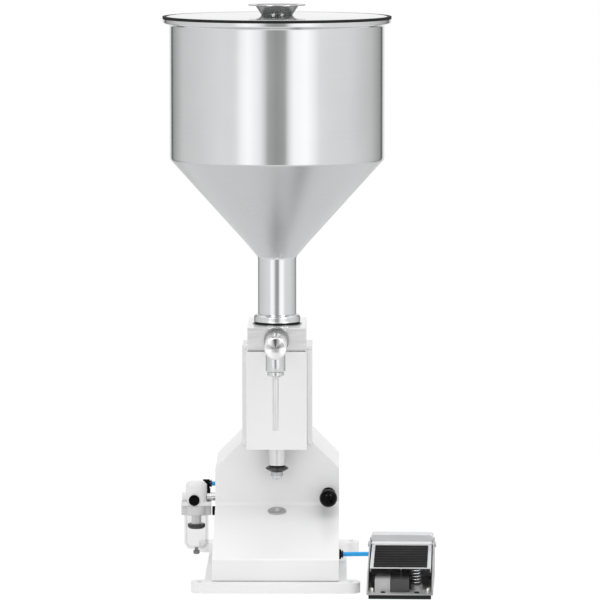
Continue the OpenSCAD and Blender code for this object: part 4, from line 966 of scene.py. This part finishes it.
softened("pedal_tray", "pedal_base", 0.35, "casting")
softened("pedal_tread", "pedal_treadle", 0.4, "silver", body="treadle")
softened("pedal_hood", "pedal_cover", 0.7, "silver", segments=4)
softened("pedal_pads", "pedal_strips", 0.7, "rubber")
softened("pedal_switch", "pedal_valve", 0.5, "moulding")
softened("pedal_joint", "pedal_fitting", 0.4, "nickel")
makeMat(mat)
makeSpring(spring)
boltPlaces = [(toPedal([(side * 38.5, -68.5, 7.5)])[0], (0, 0, 1)) for side in (-1, 1)]
screwsAt("pedal_bolts", boltPlaces, 3.8, 5.5, "nickel", ["pedal_screws"])

# CAD nodes that keep their own shape get a finish of their own

kept = {"pump_barrel": "dull", "air_barrel": "aluminium", "air_top_cap": "aluminium",
        "air_bottom_cap": "satin", "seal_rings": "rubber", "piston_rod": "turned",
        "piston_seals": "rubber", "valve_shuttle": "turned", "main_valve": "aluminium",
        "pedal_pin": "dull", "pedal_plunger": "turned", "filter_element": "element"}
for node, skin in kept.items():
    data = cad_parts[node].data
    data.materials.clear()
    data.materials.append(skins[skin])
print("pedal made")

# Floor, light and the room that the steel reflects


def makeFloor():
    # White matte for indirect light; to the camera and in mirrors mostly an even glow
    ring = [(0.01, 0.0)] + [(r, 0.0) for r in (300, 600, 900, 1300)]
    piece = meshObject("floor", turned(ring, 96) - [0, 0, 0.05], grid(len(ring), 96))
    made = bpy.data.materials.new("floor_white")
    made.use_nodes = True
    tree = Tree(made.node_tree)
    matte = tree.node("ShaderNodeBsdfDiffuse", {"Color": grey(0.9)})
    glow = tree.node("ShaderNodeEmission", {"Color": grey(1.0), "Strength": 1.03})
    camera = tree.node("ShaderNodeLightPath", output="Is Camera Ray")
    glossy = tree.node("ShaderNodeLightPath", output="Is Glossy Ray")
    through = tree.node("ShaderNodeLightPath", output="Is Transmission Ray")
    seen = camera * 0.88 + glossy * 0.85 + through * 0.8
    both = tree.node("ShaderNodeMixShader", {0: seen, 1: matte, 2: glow})
    tree.node("ShaderNodeOutputMaterial", {"Surface": both})
    piece.data.materials.append(made)


def makeRoom():
    # Brightness by compass angle round the object: 0 is the camera's side, in degrees
    stops = [(-180, 1.0), (-160, 0.95), (-153, 0.03), (-146, 0.42), (-120, 0.82), (-88, 0.92),
             (-62, 1.03), (-50, 1.02), (-44, 1.06), (-38, 1.34), (-30, 1.5), (-18, 1.25),
             (-13, 0.95), (-9, 0.55), (0, 0.44), (9, 0.5), (13, 1.07), (18, 1.42), (32, 1.53),
             (41, 1.3), (47, 1.08), (60, 1.02), (85, 0.98), (120, 0.76), (146, 0.4),
             (152, 0.05), (160, 0.95), (180, 1.0)]
    world = bpy.data.worlds.new("room")
    bpy.context.scene.world = world
    world.use_nodes = True
    tree = Tree(world.node_tree)
    direction = tree.node("ShaderNodeTexCoord", output="Generated")
    x, y, z = tree.parts(direction)
    angle = x.math("ARCTAN2", y * -1.0)
    brightest = 1.6
    around = tree.ramp(tree.span(angle, -math.pi, math.pi, 0.0, 1.0), stops, brightest)
    overhead = tree.span(z, 0.35, 0.8, 0.0, 1.0)
    color = tree.mixed(overhead, around, grey(0.8))
    room = tree.node("ShaderNodeBackground", {"Color": color, "Strength": brightest})
    white = tree.node("ShaderNodeBackground", {"Color": grey(1.0), "Strength": 1.0})
    seen = (tree.node("ShaderNodeLightPath", output="Is Camera Ray")
            + tree.node("ShaderNodeLightPath", output="Is Transmission Ray"))
    both = tree.node("ShaderNodeMixShader", {0: seen, 1: room, 2: white})
    tree.node("ShaderNodeOutputWorld", {"Surface": both})


def softLight(name, place, aim, size, power, gleam=False):
    # A lamp that faces its aim, and either lights surfaces or only shows in gloss
    data = bpy.data.lights.new(name, "AREA")
    data.shape = "RECTANGLE"
    data.size, data.size_y = size
    data.energy = power
    light = bpy.data.objects.new(name, data)
    bpy.context.scene.collection.objects.link(light)
    light.location = place
    light.rotation_mode = "QUATERNION"
    light.rotation_quaternion = (Vector(aim) - Vector(place)).to_track_quat("-Z", "Y")
    light.visible_glossy = gleam
    light.visible_diffuse = not gleam


makeFloor()
makeRoom()
softLight("overhead", (0.2, -0.4, 2.8), (0, 0, 0.3), (2.0, 2.0), 10)
# Two soft boxes that only gleam in the ball, the caps and the polished edges
for name, degrees in (("gleam_left", -30), ("gleam_right", 44)):
    a, away = math.radians(degrees), 2.3
    place = (away * math.sin(a), -away * math.cos(a), 2.4)
    softLight(name, place, (0, 0, 0.3), (0.9, 0.9), 35, gleam=True)
